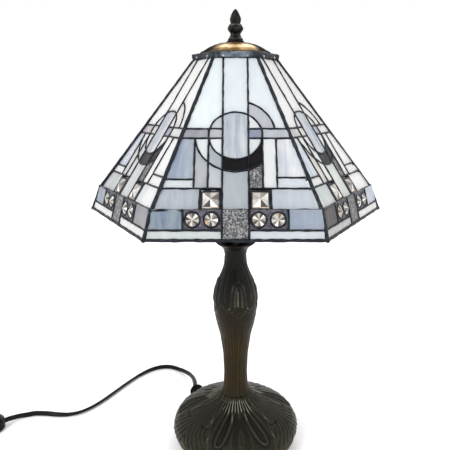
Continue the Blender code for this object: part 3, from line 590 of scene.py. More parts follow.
SEAM_ROOM = 0.1  # from a skirt's side seam to its glass
CURVE_STEP = 0.16


def arc_points(radius, first, last, middle=(0, RING_MIDDLE)):
    """Points along an arc in the panel's plane; angles in degrees from +t towards the top."""
    count = max(3, ceil(abs(radians(last - first)) * radius / CURVE_STEP) + 1)
    return [(middle[0] + radius * cos(radians(a)), middle[1] - radius * sin(radians(a)))
            for a in np.linspace(first, last, count)]


def ring_angle(s, radius):
    """The angle at which a ring crosses height s, on the right side."""
    return np.degrees(asin((RING_MIDDLE - s) / radius))


def upper_leads():
    lines = [arc_points(RING_INNER, 0, 360)]
    lines.append(arc_points(RING_OUTER, ring_angle(BAR_TOP, RING_OUTER), np.degrees(atan2(3.41, STRIP))))
    left_end = 180 - ring_angle(BAR_BOTTOM, RING_OUTER)
    right_end = -np.degrees(atan2(sqrt(RING_OUTER**2 - RING_INNER**2), RING_INNER)) + 360
    lines.append(arc_points(RING_OUTER, left_end, right_end))
    for side in (-1, 1):
        band = BAND_LEFT if side < 0 else BAND_RIGHT
        across = [(BAR_TOP, STRIP), (BAR_BOTTOM, STRIP), (band, RING_OUTER), (ROW, STRIP)]
        lines += [[(side * start, s), (side * half_width(s), s)] for s, start in across]
        down = [(STRIP, 0, UPPER_LENGTH), (RING_INNER, BAR_TOP, ROW), (RING_OUTER, BAR_BOTTOM, ROW),
                (SQUARE, ROW, UPPER_LENGTH)]
        lines += [[(side * t, top), (side * t, bottom)] for t, top, bottom in down]
    for t, s in SQUARE_JEWELS:
        reach = SQUARE_SIZE + 0.05
        corners = ((-1, -1), (1, -1), (1, 1), (-1, 1), (-1, -1))
        lines.append([(t + x * reach, s + y * reach) for x, y in corners])
    return lines


def skirt_leads():
    lines = []
    for side in (-1, 1):
        lines.append([(side * STRIP, 0), (side * STRIP, SKIRT_LENGTH)])
        lines.append([(side * STRIP, SKIRT_ROW), (side * skirt_half(SKIRT_ROW), SKIRT_ROW)])
        lines.append([(side * FIELD, 0), (side * FIELD, SKIRT_ROW)])
    for t, s in ROUND_JEWELS:
        lines.append(arc_points(ROUND_SIZE + 0.08, 0, 360, (t, s)))
    return lines


# ---------------- shade: from the pattern to pieces

PANEL_INSET = 0.0032  # from a side seam, or from the break, to the edge of the frame's glass
COLLAR_INSET = 0.0016


class Plane:
    """A panel's plane: where a point (t, s, height) of the pattern lies in the row frame, in centimetres."""

    def __init__(self, node, number, top_margin):
        self.number = number
        mesh = nodes[node].data
        angle = radians(60 * (number - 1) + 30)
        self.away = np.array((cos(angle), sin(angle), 0))
        self.across = np.array((-sin(angle), cos(angle), 0))
        faces = [f for f in mesh.polygons if Vector(self.away).dot(f.normal) > 0.3]
        points = np.array([mesh.vertices[i].co for f in faces for i in f.vertices])
        high = points[points[:, 2] > points[:, 2].max() - 0.001].mean(0)
        low = points[points[:, 2] < points[:, 2].min() + 0.001].mean(0)
        high -= self.across * (high @ self.across)
        low -= self.across * (low @ self.across)
        self.down = unit(low - high)
        self.out = np.cross(self.down, self.across)
        if self.out @ self.away < 0:
            self.out = -self.out
        self.start = high - self.down * top_margin + self.out * GLASS_SINK * CM

    def at(self, t, s, height=0.0):
        t, s, height = np.broadcast_arrays(t, s, height)
        moved = (t[..., None] * self.across + s[..., None] * self.down + height[..., None] * self.out) * CM
        return self.start + moved


def glass_piece(form, plane, piece, half, seed):
    """One cut piece of glass, as a closed plate with softened edges."""
    first, last, upper, lower, look = piece
    finish, colours = (OPAL, look) if isinstance(look, tuple) else (look, UNTINTED)
    upper = upper if callable(upper) else level(upper)
    lower = lower if callable(lower) else level(lower)
    inset = PIECE_GAP
    columns = max(5, ceil((last - first) / CURVE_STEP) + 1)
    across = np.linspace(first + inset, last - inset, columns)
    spans = [(upper(t) + inset, lower(t) - inset) for t in across]
    kept = [(t, top, bottom) for t, (top, bottom) in zip(across, spans) if bottom - top > SLIVER]
    shares = np.array([0, 0.04, 0.2, 0.5, 0.8, 0.96, 1])
    rows = len(shares)
    t = np.array([[k[0]] * rows for k in kept])
    s = np.array([k[1] + (k[2] - k[1]) * shares for k in kept])
    outer, inner = (first, last) if -first > last else (last, first)
    if abs(outer) == BOTTOM_HALF:
        t = inner + (t - inner) / (outer - inner) * (np.sign(outer) * (half(s) - SEAM_ROOM) - inner)
    else:
        t = np.clip(t, inset - half(s), half(s) - inset)
    from_ends = np.minimum(np.abs(t - t[0, 0]), np.abs(t[-1, 0] - t))
    edge = np.minimum(from_ends, np.minimum(s - s[:, :1], s[:, -1:] - s))
    crown = CROWN * np.minimum(1, edge / 0.25) + 0.012 * np.sin(3.1 * t + seed) * np.cos(2.3 * s + seed)
    face = plane.at(t, s, -GLASS_SINK + crown - CROWN)
    back = plane.at(t, s, -GLASS_SINK - GLASS_DEPTH)
    count = len(kept) * rows
    faces = grid_faces(len(kept), rows)
    faces += [[count + i for i in corners[::-1]] for corners in faces]
    rim = [i * rows for i in range(len(kept))] + [count - rows + j for j in range(1, rows)]
    rim += [i * rows + rows - 1 for i in range(len(kept) - 2, -1, -1)] + list(range(rows - 2, 0, -1))
    faces += [[b, a, count + a, count + b] for a, b in zip(rim, rim[1:] + rim[:1])]
    place = np.stack([t * CM + seed, s * CM + seed * 0.7, np.full_like(t, seed)], axis=-1).reshape(-1, 3)
    # The panel's share holds its own hue and painted light: the side panels are painted lighter and warmer.
    panel_hue_and_light = np.array((*PANEL_HUE_AND_LIGHT[plane.number], 1)) * (1 + 0.035 * sin(2.7 * seed))
    pair = [np.minimum(np.array(hex_colour(c)) * panel_hue_and_light, GLASS_WHITE) for c in colours]
    form.add(np.concatenate([face.reshape(-1, 3), back.reshape(-1, 3)]), faces, finish,
             pattern=np.concatenate([place, place]), tint=pair[0], streak=pair[1])


# How each panel's glass differs, a share of red, green and blue: partly the hue of hand-cut sheets, partly
# painted light, the side panels 4 and 6 painted lighter and warmer than the front panel 5.
PANEL_HUE_AND_LIGHT = {1: (1.2, 1.16, 1.1), 2: (1.12, 1.1, 1.08), 3: (1.22, 1.17, 1.11), 4: (1.42, 1.34, 1.26),
               5: (1, 1, 1), 6: (1.6, 1.52, 1.38)}
GLASS_WHITE = 0.93  # no glass reflects more
UNTINTED = ("808080", "808080")
# Pieces of the skirts cut from another sheet: (panel, piece) and its two colours.
ODD_GLASS = {(6, 1): ("47464a", "5d5c61"), (6, 5): ("a4a8b2", "b3b6bd"), (4, 2): ("8d909c", "a3a6ae")}


def lead_line(form, out, points, half_wide, half_high, seed, closed=False):
    """A came of solder: an oval bead along points, a little uneven; out points away from the glass."""
    points = np.asarray(points, float)
    along = run_along(points)
    ahead = unit(np.gradient(points, axis=0))
    if closed:
        ahead[0] = ahead[-1] = unit(points[1] - points[-2])
    side = unit(np.cross(ahead, out))
    wide = half_wide * (1 + wobble(along, seed, 0.14))
    drift = wobble(along, seed * 1.3, 0.00012)
    if closed:
        wide[-1], drift[-1] = wide[0], drift[0]
    high = half_high * (1 + wobble(along, seed * 2.1, 0.06))
    angles = full_turn(10)
    rings = (points[:, None] + side[:, None] * (drift[:, None] + wide[:, None] * np.cos(angles))[..., None]
             + out * high[:, None, None] * np.sin(angles)[None, :, None])
    form.add(rings, tube_faces(len(points), len(angles)))


def blob(form, middle, out, radius, height, finish=0, **values):
    """A drop of solder where leads meet."""
    out = unit(np.asarray(out, float))
    side = unit(np.cross(out, (0, 0, 1)))
    up = np.cross(out, side)
    rows, columns = 5, 12
    points = []
    for i in range(rows):
        rise = i / (rows - 1) * pi / 2 * 0.94
        for turn in full_turn(columns):
            around = side * cos(turn) + up * sin(turn)
            points.append(middle + around * radius * cos(rise) + out * height * sin(rise))
    form.add(points, tube_faces(rows, columns), finish, **values)


LEAD_HALF = 0.00112
LEAD_HIGH = 0.00235  # half the bead's height, so that it stands proud of both sides of the glass
HIP_HALF = 0.0017
SEAM_SINK = 0.0009  # how far the seams' middles lie inside the panels' corners


def resampled(points, step=0.25):
    made = []
    for (a, b), (c, d) in zip(points, points[1:]):
        count = max(1, ceil(hypot(c - a, d - b) / step))
        made += [(a + (c - a) * i / count, b + (d - b) * i / count) for i in range(count)]
    return made + [points[-1]]


def panel_leads(plane, lines, number):
    form = Form()
    for i, line in enumerate(lines):
        path = np.array(resampled(line))
        closed = np.allclose(path[0], path[-1])
        points = plane.at(path[:, 0], path[:, 1], -GLASS_SINK - GLASS_DEPTH / 2)
        lead_line(form, plane.out, points, LEAD_HALF, LEAD_HIGH, 1 + i * 0.77 + number * 3.3, closed)
    return form


def square_jewel(form, plane, t, s):
    """A cut pyramid on a low step; a crease halves each of its four faces."""
    half = SQUARE_SIZE
    steps = ((1, -0.2), (1, -0.05), (0.86, 0.02), (0.03, 0.24))
    eight = ((-1, -1), (0, -1), (1, -1), (1, 0), (1, 1), (0, 1), (-1, 1), (-1, 0))
    rings = [[plane.at(t + x * half * size, s + y * half * size, height) for x, y in eight]
             for size, height in steps]
    faces = [rings[0][::-1], rings[-1]]
    reflection_tones = [0.5, 0.5]
    for ring, (low, high) in enumerate(zip(rings, rings[1:])):
        for i in range(8):
            j = (i + 1) % 8
            faces.append([low[i], low[j], high[j], high[i]])
            reflection_tones.append(SQUARE_REFLECTIONS[ring][i if t < 0 else (9 - i) % 8])
    add_facets(form, faces, reflection_tones, plane.at(t, s, 0))


def round_jewel(form, plane, t, s, turn):
    """A cut cone: a ring of wedges up to a small table."""
    rings = []
    for radius, height in ((1, -0.2), (1, -0.03), (0.1, 0.2)):
        angles = [2 * pi * i / WEDGES + turn for i in range(WEDGES)]
        wide = ROUND_SIZE * radius
        rings.append([plane.at(t + wide * cos(a), s + wide * sin(a), height) for a in angles])
    # Painted reflections per facet: the small table's 0.9 is a painted highlight.
    faces, reflection_tones = [rings[0][::-1], rings[-1]], [0.5, 0.9]
    for low, high in zip(rings, rings[1:]):
        for i in range(WEDGES):
            j = (i + 1) % WEDGES
            faces.append([low[i], low[j], high[j], high[i]])
            reflection_tones.append(WEDGE_REFLECTIONS[i])
    add_facets(form, faces, reflection_tones, plane.at(t, s, 0))


def add_facets(form, faces, reflection_tones, centre):
    """Adds flat faces, each with its own tone of painted reflection, all facing away from the centre."""
    for face, tone in zip(faces, reflection_tones):
        points = np.array(face)
        normal = np.cross(points[1] - points[0], points[2] - points[0])
        if normal @ (points.mean(0) - centre) < 0:
            points = points[::-1]
        form.add(points, [list(range(len(points)))], 0, tone=tone)


# Painted reflections: each facet's place on the jewel glass's colour ramp, from dark to painted highlight.
WEDGES = 12
WEDGE_REFLECTIONS = [0.95, 0.3, 0.62, 0.15, 0.45, 0.8, 0.25, 0.55, 0.1, 0.7, 0.4, 0.2]
SQUARE_REFLECTIONS = [[0.2] * 8, [0.25, 0.35, 0.2, 0.3, 0.85, 0.8, 0.3, 0.2],
                [0.38, 0.55, 0.3, 0.45, 0.95, 0.15, 0.62, 0.7]]


# ---------------- shade: materials


def opal_glass():
    """Streaky opal glass: two colours run together in wisps, and light soaks through."""
    finish = Finish("opal_glass", {"Roughness": 0.16, "IOR": 1.5, "Specular IOR Level": 0.4})
    wisps = finish.noise(26, 5, 0.6, stretch=(3.4, 0.6, 1), attribute="pattern", twist=0.7)
    clouds = finish.noise(40, 3, attribute="pattern")
    share = finish.spread(finish.sum(wisps, finish.sum(clouds, 0.35, "MULTIPLY")), 0.5, 0.86)
    colour = finish.blend(share, finish.stored("tint", "Color"), finish.stored("streak", "Color"))
    haze = finish.noise(75, 4, 0.6, stretch=(2.2, 0.8, 1), attribute="pattern")
    haze = finish.spread(haze, 0.3, 0.7, 0.95, 1.0)
    colour = finish.darker(colour, haze)
    finish.feed("Base Color", colour)
    finish.wear("Roughness", finish.noise(150, 2, attribute="pattern"), 0.12, 0.24)
    finish.bumps(finish.noise(130, 2, attribute="pattern"), 0.1, 0.0006)
    glow = finish.node("BsdfTranslucent", {"Color": colour})
    mix = finish.node("MixShader", {"Fac": 0.42})
    finish.tree.links.new(finish.skin.outputs[0], mix.inputs[1])
    finish.tree.links.new(glow.outputs[0], mix.inputs[2])
    finish.tree.links.new(mix.outputs[0], finish.tree.nodes["Material Output"].inputs["Surface"])
    return finish.made


def granite_glass(name, scale, dark, middle, light):
    """Glass rolled with a crystalline, granite-like face that glitters grey and silver."""
    finish = Finish(name, {"IOR": 1.5, "Specular IOR Level": 0.3})
    grains = finish.cells(scale, attribute="pattern")
    veins = finish.noise(scale * 1.1, 5, 0.75, attribute="pattern", twist=2.5)
    mixed = finish.sum(finish.sum(grains, 0.5, "MULTIPLY"), veins)
    finish.feed("Base Color", finish.ramp(mixed, [(0.48, dark), (0.7, middle), (0.94, light)]))
    finish.wear("Roughness", veins, 0.15, 0.5)
    finish.bumps(mixed, 0.9, 0.0012)
    return finish.made


def jewel_glass():
    """Clear cut crystal: each facet's colour is a painted reflection of sky, brown room and black lead, some a
    painted highlight.
    """
    sockets = {"IOR": 1.5, "Specular IOR Level": 0.35, "Coat Weight": 0.3, "Coat Roughness": 0.04}
    finish = Finish("jewel_glass", sockets)
    # Painted reflections: dark room and lead, grey sky, a painted amber glint and a painted white highlight.
    reflection_tones = [(0.0, "1f1d1b"), (0.2, "4b4742"), (0.4, "85807a"), (0.6, "b4b1ad"), (0.75, "d7d5d2"),
             (0.86, "b08a52"), (0.95, "f1efec")]
    tone = finish.sum(finish.stored("tone"), finish.stray(240, 3, 0.35))
    finish.feed("Base Color", finish.ramp(tone, reflection_tones))
    finish.wear("Roughness", finish.noise(300, 2), 0.04, 0.12)
    return finish.made


# Dark patinated lead and solder, brighter where it is rubbed, and a fresh spot of tin.
SOLDER = coat("dark_solder", {"Metallic": 0.8},
              (260, 4, [(0.3, "15171b"), (0.55, "262a31"), (0.78, "4a505a")]),
              (480, 3, 0.34, 0.58), (700, 3, 0.3, 0.0005))
TIN = coat("bright_solder", {"Metallic": 0.9}, (500, 4, [(0.35, "6d7078"), (0.7, "b9b9c2")]),
           (600, 4, 0.25, 0.45))
BLACK_GLASS = coat("black_glass", {"IOR": 1.5, "Specular IOR Level": 0.12},
                   (60, 4, [(0.3, "060607"), (0.75, "131316")]), (200, 4, 0.12, 0.3),
                   (160, 4, 0.2, 0.0006), "pattern")
OPAL_GLASS = [opal_glass(), BLACK_GLASS,
              granite_glass("granite_glass", 700, "1f1f20", "4d4e51", "aaabac"),
              granite_glass("field_glass", 480, "2c2a30", "4c4a53", "6d6b75")]
JEWEL = jewel_glass()


def build_panel(number):
    upper = Plane(f"upper_panel_{number}", number, COLLAR_INSET)
    skirt = Plane(f"skirt_panel_{number}", number, PANEL_INSET)
    glass = Form()
    for i, piece in enumerate(UPPER_GLASS):
        glass_piece(glass, upper, piece, half_width, number * 31.7 + i * 5.3)
    glass.build(f"upper_glass_{number}", "shade", OPAL_GLASS, "stained_glass", [f"upper_panel_{number}"], 30)
    glass = Form()
    for i, piece in enumerate(SKIRT_GLASS):
        if (number, i) in ODD_GLASS:
            piece = (*piece[:4], ODD_GLASS[number, i])
        glass_piece(glass, skirt, piece, skirt_half, number * 17.9 + i * 7.1)
    glass.build(f"skirt_glass_{number}", "shade", OPAL_GLASS, "stained_glass", [f"skirt_panel_{number}"], 30)
    panel_leads(upper, upper_leads(), number).build(f"upper_leads_{number}", "shade", [SOLDER], "dark_solder")
    panel_leads(skirt, skirt_leads(), number).build(f"skirt_leads_{number}", "shade", [SOLDER], "dark_solder")
    jewels = Form()
    for t, s in SQUARE_JEWELS:
        square_jewel(jewels, upper, t, s)
    for i, (t, s) in enumerate(ROUND_JEWELS):
        round_jewel(jewels, skirt, t, s, 0.2 + i * 0.9 + number)
    jewels.build(f"jewels_{number}", "shade", [JEWEL], "stained_glass", (), 1)
    return upper, skirt


def corners_of(panels):
    """Where neighbouring panels meet: the top, break and bottom corner between each pair."""
    rows = []
    for number in range(1, 7):
        upper, skirt = panels[number]
        rows.append([upper.at(TOP_HALF, 0), upper.at(BREAK_HALF, UPPER_LENGTH),
                     skirt.at(BOTTOM_HALF, SKIRT_LENGTH)])
    return np.array(rows)


def between(a, b, step=0.0025):
    count = max(2, ceil(np.linalg.norm(b - a) / step))
    return a + (b - a) * np.linspace(0, 1, count + 1)[:, None]


def build_seams(corners):
    """The heavier leads: down the six hips, round the break and round the bottom edge."""
    form = Form()
    for number in range(6):
        out = unit(corners[number, 1] * (1, 1, 0))
        top, middle, bottom = [c - out * SEAM_SINK for c in corners[number]]
        past = [c - unit(c * (1, 1, 0)) * SEAM_SINK for c in corners[(number + 1) % 6]]
        lead_line(form, out, between(top, middle), HIP_HALF, 0.0021, 3 + number)
        lead_line(form, out, between(middle, bottom), HIP_HALF, 0.0021, 9 + number)
        face = unit((corners[number, 1] + corners[(number + 1) % 6, 1]) * (1, 1, 0))
        lead_line(form, face, between(middle, past[1]), 0.00135, 0.0019, 15 + number)
        lead_line(form, face, between(bottom, past[2]), 0.0015, 0.0017, 21 + number)
        blob(form, middle, out, 0.0023, 0.0026)
        blob(form, bottom, out, 0.0021, 0.0024)
    form.build("seams", "shade", [SOLDER], "dark_solder", ["lead_frame"])


panels = {number: build_panel(number) for number in range(1, 7)}
build_seams(corners_of(panels))


# ---------------- stand: profiles read from the frame


def outline_of(node, low, high, count):
    """(radius, height) pairs down the outside of a turned node, found by looking in from +X, and smoothed."""
    body = nodes[node]
    heights = np.linspace(high, low, count)
    found = []
    for z in heights:
        hit, where, *_ = body.ray_cast(Vector((1, 0.0001, z)), Vector((-1, 0, 0)))
        found.append(where.x if hit else np.nan)
    radii = np.array(found)
    good = ~np.isnan(radii)
    radii = np.interp(np.arange(count), np.flatnonzero(good), radii[good])
    return np.stack([radii, heights], axis=1)


def outline_normals(outline):
    ahead = unit(np.gradient(outline, axis=0))
    return np.stack([-ahead[:, 1], ahead[:, 0]], axis=1)


def ridge(distance, width):
    return np.exp(-((distance / width) ** 2))


def distance_to(path, x, y):
    """How far each point (x, y) lies from a path."""
    path = np.asarray(path, float)
    best = np.full(x.shape, 9.0)
    for (a, b), (c, d) in zip(path, path[1:]):
        length = max(1e-12, (c - a) ** 2 + (d - b) ** 2)
        share = np.clip(((x - a) * (c - a) + (y - b) * (d - b)) / length, 0, 1)
        best = np.minimum(best, np.hypot(x - a - share * (c - a), y - b - share * (d - b)))
    return best


def curve(*points):
    return smooth_route(points, 0.0012)


def wrap(angle, whole):
    return (angle + whole / 2) % whole - whole / 2


def turned_surface(outline, turns, relief):
    """Rings of points around the axis, pushed out along the outline's normals by relief."""
    normals = outline_normals(outline)
    radius = outline[:, None, 0] + normals[:, None, 0] * relief
    height = outline[:, None, 1] + normals[:, None, 1] * relief
    return np.stack([radius * np.cos(turns), radius * np.sin(turns), height], axis=-1)


# ---------------- stand: the stem's relief

ROOT_DEPTH = 0.00026
MOTIFS = 4  # flower motifs round the stem
MOTIF_FRONT = radians(-82)
OUTER_ARCH = [(-0.0104, 0.1772), (-0.0088, 0.18), (-0.0082, 0.186), (-0.0078, 0.193), (-0.0062, 0.2),
              (-0.0034, 0.2048), (0.0, 0.2066)]
INNER_ARCH = [(-0.004, 0.179), (-0.0039, 0.186), (-0.0036, 0.193), (-0.0026, 0.1985), (0.0, 0.2022)]
SCROLL = [(-0.0092, 0.1775), (-0.0122, 0.1758), (-0.0156, 0.1764), (-0.018, 0.179), (-0.0172, 0.1815)]
LOWER_SCROLL = [(-0.006, 0.1752), (-0.0095, 0.1728), (-0.0135, 0.1722)]
CHEVRON = [(-0.008, 0.1748), (-0.0042, 0.17), (0.0, 0.1664)]
INNER_CHEVRON = [(-0.0045, 0.1762), (-0.002, 0.1726), (0.0, 0.1708)]
LEAF_EDGE = [(0.0, 0.23), (-0.004, 0.224), (-0.0088, 0.215), (-0.0128, 0.204), (-0.0148, 0.193),
             (-0.014, 0.185)]


def mirrored(path):
    return path + [(-x, y) for x, y in path[-2::-1]]


def root_ribs(turn, climb):
    """The strands down the stem and out over the foot; climb is the height above where the two meet."""
    fine = np.cos(38 * turn + 2.2 * np.sin(3 * turn + 12 * climb))
    return 0.6 * fine + 0.5 * np.cos(23 * turn - 1.5 * np.sin(5 * turn))


def stem_relief(turn, height, radius):
    around = wrap(turn - MOTIF_FRONT, 2 * pi / MOTIFS)
    x = around * radius
    z = np.broadcast_to(height, x.shape)
    relief = np.zeros_like(x)
    outer = distance_to(curve(*mirrored(OUTER_ARCH)), x, z)
    inner = distance_to(curve(*mirrored(INNER_ARCH)), x, z)
    relief += 0.0008 * ridge(outer, 0.00085) + 0.00045 * ridge(inner, 0.00075)
    bud = step_up(0.0082 - np.abs(x), 0, 0.003) * step_up(z, 0.176, 0.181) * step_up(0.2055 - z, 0, 0.008)
    relief += 0.00055 * bud - 0.0006 * ridge(x - 0.0014, 0.0007) * bud
    relief += 0.0008 * ridge(x + 0.0006, 0.0009) * step_up(z, 0.178, 0.183) * step_up(0.1995 - z, 0, 0.004)
    relief += 0.0005 * ridge(x, 0.001) * step_up(z, 0.206, 0.209) * step_up(0.23 - z, 0, 0.012)
    lines = ((SCROLL, 0.0007, 0.0007), (LOWER_SCROLL, 0.0005, 0.0006), (CHEVRON, 0.0005, 0.0007),
             (INNER_CHEVRON, 0.0004, 0.0006), (LEAF_EDGE, 0.0004, 0.0015))
    for path, tall, wide in lines:
        line = curve(*path)
        nearest = np.minimum(distance_to(line, x, z), distance_to(line * (-1, 1), x, z))
        relief += tall * ridge(nearest, wide)
    relief += ROOT_DEPTH * root_ribs(turn, z - stem_low.z) * step_up(0.172 - z, 0, 0.05)
    relief += 0.00012 * np.cos(34 * turn + 40 * z) * step_up(z, 0.178, 0.2) * step_up(0.236 - z, 0, 0.01)
    return relief


# ---------------- stand: the foot's relief

FOOT_FRONT = radians(276 - 360)  # the middle of the front bundle of roots
FOOT_SECTORS = 3
LOBE = [(0.0012, 0.02), (0.006, 0.034), (0.011, 0.048), (0.0175, 0.0585), (0.0235, 0.064), (0.0285, 0.0625),
        (0.0275, 0.057), (0.02, 0.0455), (0.0125, 0.034), (0.007, 0.022)]
ROOT_LINES = [
    [(0.0, 0.018), (0.0015, 0.032), (-0.001, 0.046), (0.002, 0.06), (0.001, 0.074), (0.002, 0.1)],
    [(0.0035, 0.019), (0.0075, 0.034), (0.008, 0.048), (0.0115, 0.064), (0.011, 0.08), (0.012, 0.104)],
    [(0.009, 0.02), (0.019, 0.036), (0.03, 0.049), (0.039, 0.056)],
    [(0.013, 0.021), (0.026, 0.034), (0.038, 0.042)],
]
CURL = [(0.034, 0.0436), (0.0376, 0.042), (0.0408, 0.0396), (0.042, 0.0366)]
PAD_START = 0.024  # where a leaf's veins spread from
PAD_SPREAD = radians(40)
VEIN_ANGLE = radians(7.4)


def fan_ribs_and_highlight(turn, spread):
    """The thin ribs that spread from the stem in front; the same pattern paints a highlight on their crests."""
    around = wrap(turn - FOOT_FRONT, 2 * pi / FOOT_SECTORS)
    out = spread - JOINT_SPREAD
    reach = step_up(out, 0, 0.005) * step_up(0.021 - out, 0, 0.009)
    return reach * ridge(around, radians(48)) * np.cos(54 * around)


def foot_relief(turn, spread, foot_widest):
    """Height of the cast leaves and roots, by direction and distance from the axis along the surface."""
    around = wrap(turn - FOOT_FRONT, 2 * pi / FOOT_SECTORS)
    side, ahead = spread * np.sin(around), spread * np.cos(around)
    folded = np.abs(side)
    edge = pi / FOOT_SECTORS
    x, y = folded - PAD_START * sin(edge), ahead - PAD_START * cos(edge)
    along, off = x * sin(edge) + y * cos(edge), y * sin(edge) - x * cos(edge)
    vein, far = np.arctan2(off, along), np.hypot(along, off)
    bend = vein + 0.25 * np.sin(far * 55) * np.sign(off)
    fine = 0.35 + 0.65 * step_up(far, 0.02, 0.05)
    in_pad = step_up(far, 0.02, 0.036) * step_up(PAD_SPREAD - vein, 0, radians(6))
    relief = in_pad * (0.00035 - 0.0007 * fine * ridge(wrap(bend, VEIN_ANGLE), VEIN_ANGLE * 0.17))
    relief += 0.00055 * ridge(np.abs(vein - PAD_SPREAD) * far, 0.0011) * step_up(far, 0.012, 0.022)
    near_stem = step_up(JOINT_SPREAD + 0.024 - spread, 0, 0.018)
    relief += ROOT_DEPTH * root_ribs(turn, 0) * near_stem
    relief += 0.00045 * fan_ribs_and_highlight(turn, spread)
    clear = step_up(spread, JOINT_SPREAD + 0.008, JOINT_SPREAD + 0.018)
    for path in ROOT_LINES:
        relief += 0.00045 * clear * ridge(distance_to(curve(*path), folded, ahead), 0.0011)
    lobe = distance_to(curve(*LOBE), folded, ahead)
    relief += clear * (0.0007 * ridge(lobe, 0.001) - 0.0006 * ridge(lobe - 0.0026, 0.001))
    relief -= 0.001 * ridge(distance_to(curve(*CURL), folded, ahead), 0.001)
    below = step_up(spread, foot_widest - 0.006, foot_widest)
    return relief + 0.00035 * below * np.cos(46 * turn + 2 * np.sin(9 * turn))


# ---------------- stand: building it


def bronze(name, grey, brown):
    """Cast metal under brown-black lacquer, rubbed paler on the high lines, browner low on the stem, with a
    painted shadow higher up.
    """
    finish = Finish(name, {"Specular IOR Level": 0.15})
    high = finish.sum(finish.stored("relief"), finish.stray(420, 4, 0.3))
    places = (0.18, 0.45, 0.68, 0.95)
    colour = finish.ramp(high, list(zip(places, grey)))
    height = finish.node("SeparateXYZ", {"Vector": finish.place()}).outputs["Z"]
    warmth = finish.sum(finish.spread(height, 0.19, 0.13), finish.spread(height, 0.06, 0.08), "MULTIPLY")
    warmth = finish.sum(warmth, finish.spread(height, 0.03, 0.014))
    uneven = finish.spread(finish.noise(28, 3), 0.35, 0.65, 0.45, 1.0)
    share = finish.node("Clamp", {"Value": finish.sum(warmth, uneven, "MULTIPLY")}).outputs[0]
    colour = finish.blend(share, colour, finish.ramp(high, list(zip(places, brown))))
    # Painted shadow: from 0.15 m to 0.2 m up the colour falls to 0.3 of itself and stays so above, under the
    # shade.
    shadow = finish.spread(height, 0.15, 0.2, 1.0, 0.3)
    finish.feed("Base Color", finish.darker(colour, shadow))
    finish.feed("Metallic", finish.spread(height, 0.15, 0.2, 0.3, 0.0))
    wear_and_highlight = finish.sum(finish.stored("relief"), -0.12, "MULTIPLY")
    finish.wear("Roughness", finish.sum(finish.noise(300, 3), wear_and_highlight), 0.36, 0.55)
    finish.bumps(finish.noise(900, 4), 0.22, 0.0004)
    return finish.made


def turned_form(outline, around, relief, shade_relief, wall=0.0016):
    """A closed shell of revolution: the relief outside, a plain wall inside."""
    turns = full_turn(around)
    outside = turned_surface(outline, turns, relief)
    inside = turned_surface(outline, turns, np.full_like(relief, -wall))
    points = np.concatenate([outside, inside[::-1]])
    form = Form()
    stored = np.concatenate([shade_relief, np.full_like(shade_relief, 0.4)[::-1]]).ravel()
    form.add(points, ring_faces(len(points), around), relief=stored)
    return form


SMOOTH = 180  # no edge is sharp
STEM_ROWS, STEM_AROUND = 300, 288
FOOT_ROWS, FOOT_AROUND = 190, 480
RELIEF_RANGE = 0.0026  # the relief that takes the stored value from 0.35 to 1


def stored_relief(relief):
    return np.clip(0.42 + relief / RELIEF_RANGE, 0, 1)


stem_low, stem_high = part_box("stem")
outline, _ = even(outline_of("stem", stem_low.z + 0.00002, stem_high.z - 0.0002, 500), STEM_ROWS, 6)
relief = stem_relief(full_turn(STEM_AROUND)[None, :], outline[:, None, 1], outline[:, None, 0])
GREY_BRONZE = ("080705", "1e1c15", "322f23", "8b8a7c")
BROWN_BRONZE = ("0b0803", "30240d", "4c3b16", "8a763f")
BRONZE = bronze("bronze", GREY_BRONZE, BROWN_BRONZE)
turned_form(outline, STEM_AROUND, relief, stored_relief(relief)).build(
    "cast_stem", "lamp", [BRONZE], "bronze", ["stem"], SMOOTH)

foot_low, foot_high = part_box("base_foot")
outline = outline_of("base_foot", foot_low.z + 0.0003, foot_high.z - 0.00002, 600)
foot_outline, foot_run = even(outline, FOOT_ROWS, 5)
JOINT_SPREAD = foot_outline[0, 0]
foot_spread = JOINT_SPREAD + foot_run * 0.86
foot_turns = full_turn(FOOT_AROUND)[None, :]
widest = foot_spread[np.argmax(foot_outline[:, 0])]
relief = foot_relief(foot_turns, foot_spread[:, None] + 0 * foot_turns, widest)
relief *= step_up(foot_spread[-1] - foot_spread, 0, 0.004)[:, None]
# Painted highlight: the front ribs' crests are painted paler, where the light falls.
painted_highlight = 0.45 * np.maximum(0, fan_ribs_and_highlight(foot_turns, foot_spread[:, None]))
turned_form(foot_outline, FOOT_AROUND, relief, np.clip(stored_relief(relief) + painted_highlight, 0, 1)).build(
    "cast_foot", "lamp", [BRONZE], "bronze", ["base_foot"], SMOOTH)


def solid_form(outline, around, relief, stored):
    """A solid of revolution with relief, closed flat at both ends."""
    form = Form()
    points = turned_surface(outline, full_turn(around), relief)
    form.add(points, tube_faces(len(outline), around), relief=stored.ravel())
    return form


# ---------------- top: finial, dome and collar

PETALS = 6
FINIAL_AROUND = 144
FINIAL_BRONZE = ("0a0a08", "1e1e1a", "36362f", "a5a598")


